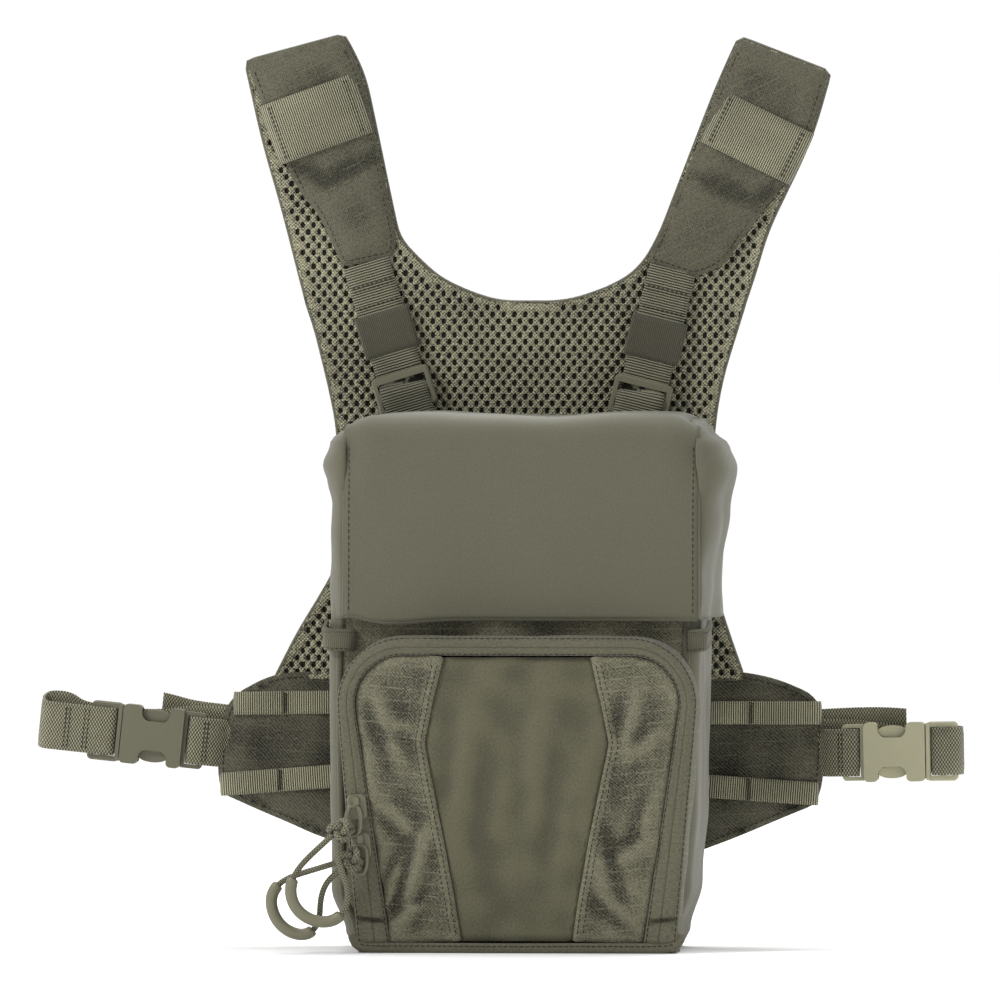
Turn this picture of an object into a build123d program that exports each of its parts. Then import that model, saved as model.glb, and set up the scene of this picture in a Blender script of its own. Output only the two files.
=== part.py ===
from build123d import *
import math
import os

# Binocular harness pack: chest pouch with a forward-opening lid and zipped front pocket,
# hung from a mesh-backed harness with side-release buckles.
#
# Millimetres. +Z up, the front faces -Y, and the origin is the centre of the pouch's flat bottom.

# ---------------------------------------------------------------- driving dimensions
POUCH_HALF_WIDTH = 78.0
POUCH_HALF_DEPTH = 38.0
POUCH_FOOT_HALF_WIDTH = 70.0
POUCH_CORNER_HEIGHT = 24.0
WALL_TOP = 214.0
WALL = 3.0

LID_BOTTOM = 138.0
LID_TOP = 222.0
LID_HALF_WIDTH = 74.0
LID_SHEET = 2.5
GUSSET_BULGE = 86.0

POCKET_FRONT = -62.0
POCKET_SHEET = 2.0
POCKET_BOTTOM = 4.0
ZIP_GAP = 0.4

MESH_FRONT = 48.0
MESH_SHEET = 3.0
PAD_SHEET = 4.0
WING_FRONT = 45.4
WING_SHEET = 6.6
BAND = 1.3

WEBBING_WIDTH = 20.0
WEBBING_SHEET = 1.4

CORD_DIAMETER = 2.5
GRIP_DIAMETER = 5.0

BUCKLE_WIDTH = 25.0
BUCKLE_THICK = 9.0
BUCKLE_DEPTH = 47.0

os.makedirs("parts", exist_ok=True)


# ---------------------------------------------------------------- helpers
def keep(name, shape):
    """Write one node's STEP file."""
    export_step(shape, "parts/" + name + ".step")


def block(x0, x1, y0, y1, z0, z1):
    """Rectangular solid between two corners."""
    centre = ((x0 + x1) / 2, (y0 + y1) / 2, (z0 + z1) / 2)
    return Pos(*centre) * Box(abs(x1 - x0), abs(y1 - y0), abs(z1 - z0))


def outline_face(points, depth):
    """Flat face in the XZ plane at one depth, from (x, z) points."""
    return Face(Wire.make_polygon([(x, depth, z) for x, z in points], close=True))


def plate(points, depth, thickness):
    """Sheet cut to an XZ outline, its front at depth and its back at depth + thickness."""
    return extrude(outline_face(points, depth), amount=thickness, dir=(0, 1, 0))


def mirror_points(points):
    return [(-x, z) for x, z in points]


def strip_between(start, end, width, depth, thickness):
    """Straight strap in the XZ plane from start to end, both (x, z)."""
    dx, dz = end[0] - start[0], end[1] - start[1]
    length = math.hypot(dx, dz)
    nx, nz = -dz / length * width / 2, dx / length * width / 2
    corners = [
        (start[0] + nx, start[1] + nz),
        (end[0] + nx, end[1] + nz),
        (end[0] - nx, end[1] - nz),
        (start[0] - nx, start[1] - nz),
    ]
    return plate(corners, depth, thickness)


# ---------------------------------------------------------------- pouch shell
def pouch_side(sign):
    """Side wall with the chamfered lower corner, as a strip along the depth."""
    outer = [
        (POUCH_FOOT_HALF_WIDTH, WALL),
        (POUCH_HALF_WIDTH, POUCH_CORNER_HEIGHT),
        (POUCH_HALF_WIDTH, WALL_TOP),
        (POUCH_HALF_WIDTH - WALL, WALL_TOP),
        (POUCH_HALF_WIDTH - WALL, POUCH_CORNER_HEIGHT),
        (POUCH_FOOT_HALF_WIDTH - WALL, WALL),
    ]
    points = outer if sign > 0 else mirror_points(outer)
    return plate(points, -POUCH_HALF_DEPTH, 2 * POUCH_HALF_DEPTH)


def pouch_wall(depth):
    """Front or back wall between the two side walls."""
    inner_top = POUCH_HALF_WIDTH - WALL
    inner_foot = POUCH_FOOT_HALF_WIDTH - WALL
    half = [(inner_foot, WALL), (inner_top, POUCH_CORNER_HEIGHT), (inner_top, WALL_TOP)]
    points = half + mirror_points(half)[::-1]
    return plate(points, depth, WALL)


def pouch_parts():
    keep("side_panel_left", pouch_side(-1))
    keep("side_panel_right", pouch_side(1))
    keep("front_panel", pouch_wall(-POUCH_HALF_DEPTH))
    keep("back_panel", pouch_wall(POUCH_HALF_DEPTH - WALL))
    foot = POUCH_FOOT_HALF_WIDTH
    keep("bottom_panel", block(-foot, foot, -POUCH_HALF_DEPTH, POUCH_HALF_DEPTH, 0, WALL))
    keep("back_foam", block(-66, 66, POUCH_HALF_DEPTH, POUCH_HALF_DEPTH + 4.5, 12, 196))
    discs = [Pos(x, -33.9, 204) * Rot(90, 0, 0) * Cylinder(6, 2) for x in (-45, 45)]
    keep("magnets_body", Compound(children=discs))
    tabs = [block(x, x + 11, -43, -POUCH_HALF_DEPTH, 125, 136.2) for x in (-81.5, 70.5)]
    keep("keeper_tabs", Compound(children=tabs))


# ---------------------------------------------------------------- lid
def lid_parts():
    front = -POUCH_HALF_DEPTH - 1.5 - LID_SHEET
    top_round = 9.0
    half = [
        (LID_HALF_WIDTH, LID_BOTTOM),
        (LID_HALF_WIDTH, LID_TOP - top_round),
        (LID_HALF_WIDTH - top_round / 3, LID_TOP - top_round / 3),
        (LID_HALF_WIDTH - top_round, LID_TOP),
    ]
    points = half + mirror_points(half)[::-1]
    keep("lid_front", plate(points, front, LID_SHEET))
    back_of_front = front + LID_SHEET
    keep("lid_top", block(-79, 79, back_of_front, 37, LID_TOP - 4, LID_TOP))
    keep("lid_stiffener", block(-70, 70, -34, 34, LID_TOP - 5.6, LID_TOP - 4))
    for side, sign in (("left", -1), ("right", 1)):
        profile = [
            (79, LID_TOP - 4),
            (GUSSET_BULGE - 3, LID_TOP - 10),
            (GUSSET_BULGE, 200),
            (GUSSET_BULGE - 3, 176),
            (81, 141),
            (79, 141),
        ]
        points = profile if sign > 0 else mirror_points(profile)
        keep("lid_gusset_" + side, plate(points, back_of_front, 34 - back_of_front))
    discs = [Pos(x, back_of_front + 0.5, 204) * Rot(90, 0, 0) * Cylinder(6, 1) for x in (-45, 45)]
    keep("magnets_lid", Compound(children=discs))


# ---------------------------------------------------------------- front pocket
def pocket_outline(half_at_top, half_at_foot, top, radius, foot, depth):
    """Pocket outline: straight flared sides, rounded top corners, flat foot."""
    slope = (half_at_top - half_at_foot) / (100 - POCKET_BOTTOM)
    shoulder = half_at_top + slope * (top - 100)
    foot_half = half_at_foot + slope * (foot - POCKET_BOTTOM)
    points = [(-foot_half, foot), (foot_half, foot), (shoulder, top), (-shoulder, top)]
    face = outline_face(points, depth)
    corners = face.vertices().group_by(Axis.Z)[-1]
    return face.fillet_2d(radius, corners)


def sheet_from(face, thickness):
    return extrude(face, amount=thickness, dir=(0, 1, 0))


OUTER = (75.2, 67.0, 132.0, 28.0)
SPLIT = (71.0, 60.5, 128.0, 24.0)
SEAM = (67.6, 53.0, 124.3, 20.0)


def pocket_parts():
    depth = POCKET_FRONT
    back = -POUCH_HALF_DEPTH
    front_of_gusset = depth + POCKET_SHEET + 0.2

    outer = sheet_from(pocket_outline(*OUTER, 0, front_of_gusset), back - front_of_gusset)
    inner_spec = (OUTER[0] - WALL, OUTER[1] - WALL, OUTER[2] - WALL, OUTER[3] - WALL)
    inner = sheet_from(pocket_outline(*inner_spec, WALL, front_of_gusset), back - front_of_gusset)
    shell = outer - inner
    foot_zone = block(-90, 90, depth, back, 0, WALL)
    wall_zone = block(-90, 90, depth, back, WALL, 140)
    keep("pocket_gusset_bottom", shell & foot_zone)
    keep("pocket_gusset", shell & wall_zone)
    keep("bottom_binding", block(-66, 66, depth - 0.5, front_of_gusset, 0, POCKET_BOTTOM - 0.4))

    split_face = pocket_outline(*SPLIT, POCKET_BOTTOM, depth)
    outer_face = pocket_outline(*OUTER, POCKET_BOTTOM, depth)
    keep("zipper_tape_outer", sheet_from(outer_face, POCKET_SHEET) - sheet_from(split_face, POCKET_SHEET))

    moving_spec = (SPLIT[0] - ZIP_GAP, SPLIT[1] - ZIP_GAP, SPLIT[2] - ZIP_GAP, SPLIT[3] - ZIP_GAP)
    moving = sheet_from(pocket_outline(*moving_spec, POCKET_BOTTOM, depth), POCKET_SHEET)
    seam = sheet_from(pocket_outline(*SEAM, POCKET_BOTTOM, depth), POCKET_SHEET)
    keep("zipper_tape_inner", moving - seam)

    panel_spec = (SEAM[0] - 0.1, SEAM[1] - 0.1, SEAM[2] - 0.1, SEAM[3] - 0.1)
    panel = sheet_from(pocket_outline(*panel_spec, POCKET_BOTTOM, depth), POCKET_SHEET)
    centre_half = [(30, 126), (39, 88), (24, POCKET_BOTTOM)]
    centre_cut = plate(centre_half + mirror_points(centre_half)[::-1], depth, POCKET_SHEET)
    sides = panel - centre_cut
    keep("pocket_centre_panel", panel & centre_cut)
    keep("pocket_side_panel_left", sides & block(-90, 0, depth - 1, back, 0, 140))
    keep("pocket_side_panel_right", sides & block(0, 90, depth - 1, back, 0, 140))


# ---------------------------------------------------------------- zipper sliders and pulls
SLIDER_BACK = POCKET_FRONT - 0.2
UPPER_SLIDER = 61.0
LOWER_SLIDER = 45.0
ZIP_SLOPE = (SPLIT[0] - SPLIT[1]) / (100 - POCKET_BOTTOM)


def zip_x(height):
    """X of the zipper line on the pocket's left side at one height."""
    return -(SPLIT[1] + ZIP_SLOPE * (height - POCKET_BOTTOM))


def slider(height):
    """Slider body, waisted towards the open zipper, with a bridge above its puller."""
    body = block(-4, 4, -3.2, 0, -5.5, 5.5)
    body = chamfer(body.edges().filter_by(Axis.Y), 1.4)
    body = fillet(body.faces().sort_by(Axis.Y)[0].edges(), 0.8)
    body = body + block(-1.2, 1.2, -6.0, -3.0, 0.8, 4.2)
    lean = math.degrees(math.atan(ZIP_SLOPE))
    return Pos(zip_x(height), SLIDER_BACK, height) * Rot(0, -lean, 0) * body


def puller(height, lean):
    """Flat metal puller that hangs from the slider's bridge."""
    tab = block(-3, 3, -5.2, -3.6, -12.0, 0)
    tab = fillet(tab.edges().filter_by(Axis.Y), 1.2)
    hole = block(-1.5, 1.5, -6, -3, -10.5, -7.5)
    return Pos(zip_x(height), SLIDER_BACK, height) * Rot(0, lean, 0) * (tab - hole)


def arc_radii(points):
    """Largest arc at each inner point: 0.45 of the shorter run over tan(half the turn)."""
    radii = []
    for before, here, after in zip(points, points[1:], points[2:]):
        into = Vector(*here) - Vector(*before)
        out = Vector(*after) - Vector(*here)
        half_turn = math.radians(into.get_angle(out) / 2)
        radii.append(0.45 * min(into.length, out.length) / math.tan(half_turn))
    return radii


def tube(name, points, diameter):
    """Round cord along straight runs joined by tangent arcs."""
    radii = arc_radii(points)
    path = FilletPolyline(*points, radius=radii)
    start = Plane(origin=path @ 0, z_dir=path % 0)
    solid = sweep(start * Circle(diameter / 2), path=path)
    expected = math.pi * diameter ** 2 / 4 * path.length
    smallest = min(radii)
    print(name, "length", round(path.length, 1), "min radius", round(smallest, 1),
          "volume ratio", round(solid.volume / expected, 4))
    keep(name, solid)


# Cord loops: out of the knot, down to the grip, through it and back up to the knot.
LOWER_KNOT = (-69.0, -72.6, 39.6)
LOWER_OUT = [
    (-73.0, -73.0, 38.4), (-80.0, -72.5, 36.3), (-87.5, -71.5, 34.0), (-94.0, -71.0, 32.0),
    (-99.5, -71.0, 28.8), (-102.4, -71.0, 23.6), (-101.8, -71.0, 17.4), (-98.6, -71.0, 11.8),
    (-93.4, -71.0, 8.3), (-87.6, -71.0, 7.6), (-83.4, -71.0, 10.6), (-81.8, -71.0, 15.6),
    (-81.6, -71.2, 21.6), (-80.2, -71.8, 27.4), (-76.6, -72.4, 32.4), (-71.8, -72.6, 35.6),
]
UPPER_KNOT = (-73.0, -76.0, 51.6)
UPPER_OUT = [
    (-76.0, -76.6, 49.6), (-80.2, -77.6, 45.6), (-85.0, -78.3, 41.2), (-89.4, -78.6, 36.6),
    (-92.6, -78.6, 31.4), (-93.6, -78.6, 25.6), (-91.8, -78.6, 19.8), (-87.4, -78.6, 15.4),
    (-81.4, -78.6, 13.2), (-75.2, -78.6, 13.8), (-70.8, -78.6, 17.6), (-69.2, -78.6, 23.0),
    (-69.8, -78.8, 28.8), (-71.8, -79.2, 34.6), (-73.8, -79.2, 40.4), (-74.2, -78.0, 46.6),
]
LOWER_GRIP = slice(4, 11)
UPPER_GRIP = slice(4, 11)


def pull_parts():
    for name, height, lean in (("upper", UPPER_SLIDER, 12.0), ("lower", LOWER_SLIDER, 4.0)):
        keep("slider_" + name, slider(height))
        keep("puller_" + name, puller(height, lean))
    keep("knot_lower", Pos(*LOWER_KNOT) * Sphere(4.2))
    keep("knot_upper", Pos(*UPPER_KNOT) * Sphere(4.2))
    tube("cord_lower", LOWER_OUT, CORD_DIAMETER)
    tube("cord_upper", UPPER_OUT, CORD_DIAMETER)
    tube("grip_lower", LOWER_OUT[LOWER_GRIP], GRIP_DIAMETER)
    tube("grip_upper", UPPER_OUT[UPPER_GRIP], GRIP_DIAMETER)


# ---------------------------------------------------------------- harness
YOKE_BACK = [
    (-98, 270), (-94.5, 259.6), (-88.2, 234.4), (-84.8, 217.6), (-84.6, 160), (-92.4, 146.2),
    (-101.6, 131.5), (-112, 117), (-61.5, 119), (-61.5, 44), (57.5, 44), (57.5, 119), (86, 118),
    (78.1, 134.4), (72.7, 152), (72.7, 216.7), (76, 237.7), (86, 270),
]
ARM_LEFT = [
    (-98, 270.3), (-108.8, 312.1), (-116.8, 339.4), (-123.9, 372), (-83.2, 383), (-74.8, 366.7),
    (-65.1, 320.5), (-60.1, 297.4), (-51.2, 288.1), (-42.8, 280.6), (-32.8, 275.6), (-18, 270.3),
]
ARM_RIGHT = [
    (86, 270.3), (90.3, 283.1), (95.8, 301.6), (105, 320.5), (114.2, 339.4), (122.2, 367.5),
    (84.8, 382), (75.6, 361.6), (58.8, 318.4), (51.7, 299.9), (45.4, 288.5), (39.1, 281.8),
    (29.8, 276.6), (12, 270.3),
]
PAD_LEFT = [
    (-124.3, 372.5), (-83.2, 383.5), (-74.8, 366.7), (-69.7, 343.6), (-65.1, 320.5),
    (-60.1, 297.4), (-61.7, 290.2), (-83.2, 285.6), (-93.2, 307.9), (-100.8, 316.3),
    (-107.5, 329.3), (-116.8, 353.2),
]
PAD_RIGHT = [
    (84.8, 382.2), (122.6, 367.5), (115.5, 342.7), (104.2, 320.9), (91.1, 304.9), (78.1, 286),
    (65.9, 281.4), (45.4, 288.1), (51.2, 299.5), (58.8, 318.4), (68, 338.9), (75.6, 361.6),
]
CROSS_BAND_LEFT = [(-117.6, 353.6), (-75.2, 367.5), (-69.7, 344), (-107.5, 329.3)]
CROSS_BAND_RIGHT = [(75.6, 361.6), (115.5, 342.7), (104.2, 320.9), (68, 338.9)]
WING_LEFT = [
    (-113, 114), (-128.1, 105.8), (-132.3, 100.4), (-134.4, 95.3), (-136.5, 74.3),
    (-134.8, 63.4), (-121.8, 57.5), (-105.8, 50.8), (-94.1, 45.4), (-62, 36), (-62, 116.5),
]
WING_RIGHT = [
    (87, 115), (100.8, 112.1), (114.2, 106.3), (118.4, 101.6), (121, 93.7), (119.7, 68),
    (116.8, 59.2), (105.4, 54.6), (79.8, 43.7), (58, 36), (58, 116.5),
]
WING_BANDS = {
    "wing_bands_left": [
        [(-129, 106.3), (-80, 106.7), (-80, 97.5), (-133.2, 96.4)],
        [(-136.2, 70.8), (-80, 76), (-80, 66.6), (-134.8, 63.4)],
    ],
    "wing_bands_right": [
        [(72, 103), (116.4, 103), (119.8, 92.8), (72, 92.8)],
        [(70, 71.4), (119.6, 68.2), (117.4, 59.2), (70, 62.6)],
    ],
}

# Shoulder strap lines, from the pad's end down to the adjuster's middle: (x, z).
STRAP_LINES = {
    "left": ((-72.2, 284.0), (-55.6, 230.0)),
    "right": ((55.8, 281.5), (43.0, 229.0)),
}
ADJUSTER_WIDTH = 25.0
ADJUSTER_HEIGHT = 17.0


def along(line, distance):
    """Point on a strap line at a distance from its upper end."""
    (x0, z0), (x1, z1) = line
    length = math.hypot(x1 - x0, z1 - z0)
    return (x0 + (x1 - x0) * distance / length, z0 + (z1 - z0) * distance / length)


def strap_lean(line):
    """Angle about Y that turns an upright part to lie along the strap."""
    (x0, z0), (x1, z1) = line
    return math.degrees(math.atan2(x0 - x1, z0 - z1))


def elastic_keeper(line):
    """Closed elastic loop round the strap and its folded tail."""
    outer = block(-11.6, 11.6, 43.2, 47.8, -9.3, 9.3)
    inner = block(-10.6, 10.6, 44.2, 47.1, -10, 10)
    x, z = along(line, 27)
    return Pos(x, 0, z) * Rot(0, strap_lean(line), 0) * (outer - inner)


def adjuster(line):
    """Moulded ladder-lock: a frame with two webbing slots either side of a middle bar."""
    half_width = ADJUSTER_WIDTH / 2
    half_height = ADJUSTER_HEIGHT / 2
    frame = block(-half_width, half_width, 40.0, 43.5, -half_height, half_height)
    frame = fillet(frame.edges().filter_by(Axis.Y), 2.0)
    frame = frame - block(-10.4, 10.4, 39, 45, 1.6, 5.4) - block(-10.4, 10.4, 39, 45, -5.4, -1.6)
    frame = chamfer(frame.faces().sort_by(Axis.Y)[0].outer_wire().edges(), 0.7)
    x, z = along(line, 53)
    return Pos(x, 0, z) * Rot(0, strap_lean(line), 0) * frame


def harness_parts():
    yoke = [plate(points, MESH_FRONT, MESH_SHEET) for points in (YOKE_BACK, ARM_LEFT, ARM_RIGHT)]
    keep("mesh_yoke", Compound(children=yoke))
    pad_front = MESH_FRONT - PAD_SHEET
    keep("shoulder_pad_left", plate(PAD_LEFT, pad_front, PAD_SHEET))
    keep("shoulder_pad_right", plate(PAD_RIGHT, pad_front, PAD_SHEET))
    bands = [plate(points, pad_front - BAND, BAND) for points in (CROSS_BAND_LEFT, CROSS_BAND_RIGHT)]
    keep("cross_bands", Compound(children=bands))
    keep("wing_left", plate(WING_LEFT, WING_FRONT, WING_SHEET))
    keep("wing_right", plate(WING_RIGHT, WING_FRONT, WING_SHEET))
    for name, outlines in WING_BANDS.items():
        bands = [plate(points, WING_FRONT - BAND, BAND) for points in outlines]
        keep(name, Compound(children=bands))
    lower_straps = []
    for side, line in STRAP_LINES.items():
        top, low = along(line, 2.5), along(line, 53)
        keep("strap_upper_" + side, strip_between(top, low, WEBBING_WIDTH, 45.5, WEBBING_SHEET))
        start, end = along(line, 50.5), along(line, 82)
        lower_straps.append(strip_between(start, end, WEBBING_WIDTH, POUCH_HALF_DEPTH, WEBBING_SHEET))
        keep("elastic_keeper_" + side, elastic_keeper(line))
        keep("adjuster_" + side, adjuster(line))
    keep("lower_straps", Compound(children=lower_straps))


# ---------------------------------------------------------------- side straps and buckles
# Local frame: u outward from the wing's end, v depth from the buckle's middle, w up.
SIDES = {
    "left": {"sign": -1, "root": (-134.4, 84.4), "tilt": 6.0, "start": 7.7, "fold": 78.0},
    "right": {"sign": 1, "root": (121.0, 81.0), "tilt": 1.0, "start": 7.4, "fold": 58.4},
}
LADDER = 9.0
FEMALE = 26.0
MOUTH_GAP = 0.4
MALE = 13.4
FRAME_HALF_DEPTH = 2.2
SLOT_HALF = 10.3
CAVITY_HALF = 11.4
WINDOW_START = 6.0
WINDOW_END = 18.0
WINDOW_FLOOR = 6.2
PRONG_HEAD = (6.2, 2.5)
STRAP_REAR = 6.7
STRAP_FRONT = -3.2


def thumb_window(body_start, sign):
    """Scalloped cut-out at the top or bottom of the female half."""
    low, high = sorted((sign * WINDOW_FLOOR, sign * (BUCKLE_WIDTH / 2 + 4)))
    cut = block(body_start + WINDOW_START, body_start + WINDOW_END, -8, 8, low, high)
    floor_edges = cut.edges().filter_by(Axis.Y).sort_by(Axis.Z)
    floor_edges = floor_edges[:2] if sign > 0 else floor_edges[-2:]
    return fillet(floor_edges, 3.4)


def local_female(start):
    """Female half: hollow body with thumb windows and a ladder end for the webbing."""
    body_start = start + LADDER
    mouth = body_start + FEMALE
    half = BUCKLE_WIDTH / 2
    thick = BUCKLE_THICK / 2
    body = block(body_start, mouth, -thick, thick, -half, half)
    body = body - thumb_window(body_start, 1) - thumb_window(body_start, -1)
    outer = [edge for edge in body.edges().filter_by(Axis.Y) if abs(edge.center().Z) > half - 0.1]
    body = fillet(outer, 2.0)
    for face in (body.faces().sort_by(Axis.Y)[0], body.faces().sort_by(Axis.Y)[-1]):
        body = chamfer(face.edges(), 0.9)
    body = body - block(body_start + 3, mouth + 1, -2.8, 2.8, -CAVITY_HALF, CAVITY_HALF)
    ladder = block(start, body_start + 0.01, -1.5, 2.4, -half + 0.6, half - 0.6)
    ladder = fillet(ladder.edges().filter_by(Axis.Y).sort_by(Axis.X)[:2], 1.6)
    ladder = ladder - block(start + 2.2, body_start - 1.5, -3, 3, -SLOT_HALF, SLOT_HALF)
    return body + ladder


def male_base(start):
    """Where the male half's frame begins, just outside the female half's mouth."""
    return start + LADDER + FEMALE + MOUTH_GAP


def local_male(start):
    """Male half: two-slot strap frame, a collar and a guide tongue that enters the female half."""
    base = male_base(start)
    half = BUCKLE_WIDTH / 2
    frame = block(base, base + MALE, -FRAME_HALF_DEPTH, FRAME_HALF_DEPTH, -half, half)
    frame = fillet(frame.edges().filter_by(Axis.Y), 2.0)
    frame = chamfer(frame.faces().sort_by(Axis.Y)[0].edges(), 0.6)
    frame = frame - block(base + 1.8, base + 5.6, -5, 5, -SLOT_HALF, SLOT_HALF)
    frame = frame - block(base + 8.2, base + 11.0, -5, 5, -SLOT_HALF, SLOT_HALF)
    collar = block(base, base + 1.6, -3.8, 3.8, -half + 0.5, half - 0.5)
    tongue = block(base - 17, base + 0.01, -2.0, 2.0, -2.2, 2.2)
    return frame + collar + tongue


def local_prong(start, sign):
    """Flexing side prong with the leaf-shaped thumb head that shows in the female half's window."""
    base = male_base(start)
    window_middle = start + LADDER + (WINDOW_START + WINDOW_END) / 2
    arm_low, arm_high = sorted((sign * 7.2, sign * 9.4))
    arm = block(window_middle + 3, base - 0.3, -2.1, 2.1, arm_low, arm_high)
    leaf = extrude(Plane.XZ * Ellipse(*PRONG_HEAD), amount=2.1, both=True)
    return arm + Pos(window_middle, 0, sign * (CAVITY_HALF - 0.3 - PRONG_HEAD[1])) * leaf


def local_side_strap(start, fold):
    """Strap that runs out behind the wing, turns at its end and laps over the male half's frame."""
    half_sheet = WEBBING_SHEET / 2
    half = WEBBING_WIDTH / 2
    rear = block(-52, fold, STRAP_REAR - half_sheet, STRAP_REAR + half_sheet, -half, half)
    turn = block(fold - WEBBING_SHEET, fold, STRAP_FRONT - half_sheet, STRAP_REAR + half_sheet, -half, half)
    lap_start = male_base(start) + 4.0
    lap = block(lap_start, fold, STRAP_FRONT - half_sheet, STRAP_FRONT + half_sheet, -half, half)
    return rear + turn + lap


def place(spec, solid):
    """Move a local solid (u, v, w) to its side, mirrored for the left."""
    x, z = spec["root"]
    tilted = Rot(0, -spec["tilt"], 0) * solid
    if spec["sign"] < 0:
        tilted = mirror(tilted, about=Plane.YZ)
    return Pos(x, BUCKLE_DEPTH, z) * tilted


def side_parts():
    for side, spec in SIDES.items():
        start = spec["start"]
        front = WING_FRONT - BUCKLE_DEPTH - WEBBING_SHEET
        half = WEBBING_WIDTH / 2
        webbing = block(-6, start + LADDER - 2, front, front + WEBBING_SHEET, -half, half)
        keep("wing_webbing_" + side, place(spec, webbing))
        keep("buckle_female_" + side, place(spec, local_female(start)))
        keep("buckle_male_" + side, place(spec, local_male(start)))
        keep("prong_upper_" + side, place(spec, local_prong(start, 1)))
        keep("prong_lower_" + side, place(spec, local_prong(start, -1)))
        keep("side_strap_" + side, place(spec, local_side_strap(start, spec["fold"])))


pouch_parts()
lid_parts()
pocket_parts()
pull_parts()
harness_parts()
side_parts()
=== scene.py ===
import math
from functools import partial

import bmesh
import bpy
from bpy.props import FloatProperty, FloatVectorProperty, PointerProperty
from bpy.types import Operator, Panel, PropertyGroup
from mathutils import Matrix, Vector, noise
from mathutils.geometry import delaunay_2d_cdt


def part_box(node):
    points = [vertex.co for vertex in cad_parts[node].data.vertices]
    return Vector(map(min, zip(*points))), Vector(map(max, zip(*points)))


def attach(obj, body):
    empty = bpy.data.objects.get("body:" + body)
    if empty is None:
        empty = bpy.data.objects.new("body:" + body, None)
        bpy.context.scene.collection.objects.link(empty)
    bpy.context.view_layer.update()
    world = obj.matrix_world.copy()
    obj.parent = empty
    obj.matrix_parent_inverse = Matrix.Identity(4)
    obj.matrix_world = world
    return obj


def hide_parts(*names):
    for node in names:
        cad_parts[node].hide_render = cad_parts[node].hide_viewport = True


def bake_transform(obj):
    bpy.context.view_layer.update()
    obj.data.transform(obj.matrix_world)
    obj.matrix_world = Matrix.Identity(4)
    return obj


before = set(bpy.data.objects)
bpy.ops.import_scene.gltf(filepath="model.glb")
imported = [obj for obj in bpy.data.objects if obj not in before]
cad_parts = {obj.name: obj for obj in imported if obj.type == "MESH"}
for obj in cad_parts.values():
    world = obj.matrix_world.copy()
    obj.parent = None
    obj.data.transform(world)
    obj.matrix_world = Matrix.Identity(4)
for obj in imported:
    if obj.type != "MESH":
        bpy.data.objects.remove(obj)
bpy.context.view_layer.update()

bl_info = {
    "name": "Binocular harness pack",
    "version": (1, 0, 0),
    "blender": (4, 5, 0),
    "location": "3D View > Sidebar > Harness Pack",
    "description": "Builds the sewn, webbed and moulded pieces of a harness pack on its packed frame",
    "category": "Object",
}

# ---- measures, in millimetres
MM = 0.001


def node_box(node):
    """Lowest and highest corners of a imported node, in millimetres."""
    low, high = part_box(node)
    return [v / MM for v in low], [v / MM for v in high]


FRONT_LOW, FRONT_HIGH = node_box("front_panel")
SHELL_BACK = node_box("back_panel")[1][1]
LID_LOW, LID_HIGH = node_box("lid_front")
POCKET_LOW, POCKET_HIGH = node_box("zipper_tape_outer")
PAD_LOW, PAD_HIGH = node_box("shoulder_pad_left")
WING_LOW, WING_HIGH = node_box("wing_left")
MESH_LOW, MESH_HIGH = node_box("mesh_yoke")

SHELL_FRONT = FRONT_LOW[1]
SHELL_TOP = FRONT_HIGH[2]
LID_FACE = LID_LOW[1]
LID_FOOT = LID_LOW[2]
LID_CREST = LID_HIGH[2]
POCKET_FACE = POCKET_LOW[1]
POCKET_FOOT = POCKET_LOW[2]
POCKET_TOP = POCKET_HIGH[2]
GENTLE_TURN = 38.0
SIDE_SIGNS = (("left", -1), ("right", 1))
FORWARD = (0, -1, 0)
FORWARD_CORD = (0, -1, 0.02)
UPWARD = (0, 0, 1)
STRAP_WIDTH = 20.0
STRAP_SHEET = 1.4
TAIL_WIDTH = 19.6
WALL_SHEET = 1.6


# ---- small geometry helpers
def lerp(a, b, t):
    return a + (b - a) * t


def clamp01(t):
    return max(0.0, min(1.0, t))


def ease(t):
    """Smooth step from 0 to 1."""
    t = clamp01(t)
    return t * t * (3 - 2 * t)


def table_value(pairs, x):
    """Smooth value at x through a few (x, value) pairs in rising order."""
    if x <= pairs[0][0]:
        return pairs[0][1]
    for (x0, v0), (x1, v1) in zip(pairs, pairs[1:]):
        if x <= x1:
            return lerp(v0, v1, ease((x - x0) / (x1 - x0)))
    return pairs[-1][1]


def rumple(x, y, z, size, depth, seed=0.0):
    """Soft irregular height of a cloth surface, from smooth noise."""
    return depth * noise.noise(Vector((x / size + seed, y / size, z / size)))


def rounded(points, turns=3, closed=False):
    """Round a polyline by corner cutting."""
    for _ in range(turns):
        cut = []
        count = len(points)
        last = count if closed else count - 1
        if not closed:
            cut.append(points[0])
        for i in range(last):
            a = Vector(points[i])
            b = Vector(points[(i + 1) % count])
            cut.append(a.lerp(b, 0.25))
            cut.append(a.lerp(b, 0.75))
        if not closed:
            cut.append(points[-1])
        points = [Vector(p) for p in cut]
    return [Vector(p) for p in points]


def eased_corners(loop, sharp_reach=2.0, steps=5):
    """Closed (x, z) outline with smooth gentle bends and small rounds on its sharp corners."""
    result = []
    count = len(loop)
    for i in range(count):
        before, here, after = Vector(loop[i - 1]), Vector(loop[i]), Vector(loop[(i + 1) % count])
        into, out = here - before, after - here
        turn = math.degrees(into.angle(out, 0.0))
        reach = (1e9 if turn < GENTLE_TURN else sharp_reach, 0.48 * into.length, 0.48 * out.length)
        a = here - into.normalized() * min(reach)
        b = here + out.normalized() * min(reach)
        for k in range(steps + 1):
            result.append(tuple(a.lerp(here, k / steps).lerp(here.lerp(b, k / steps), k / steps)))
    return result


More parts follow.
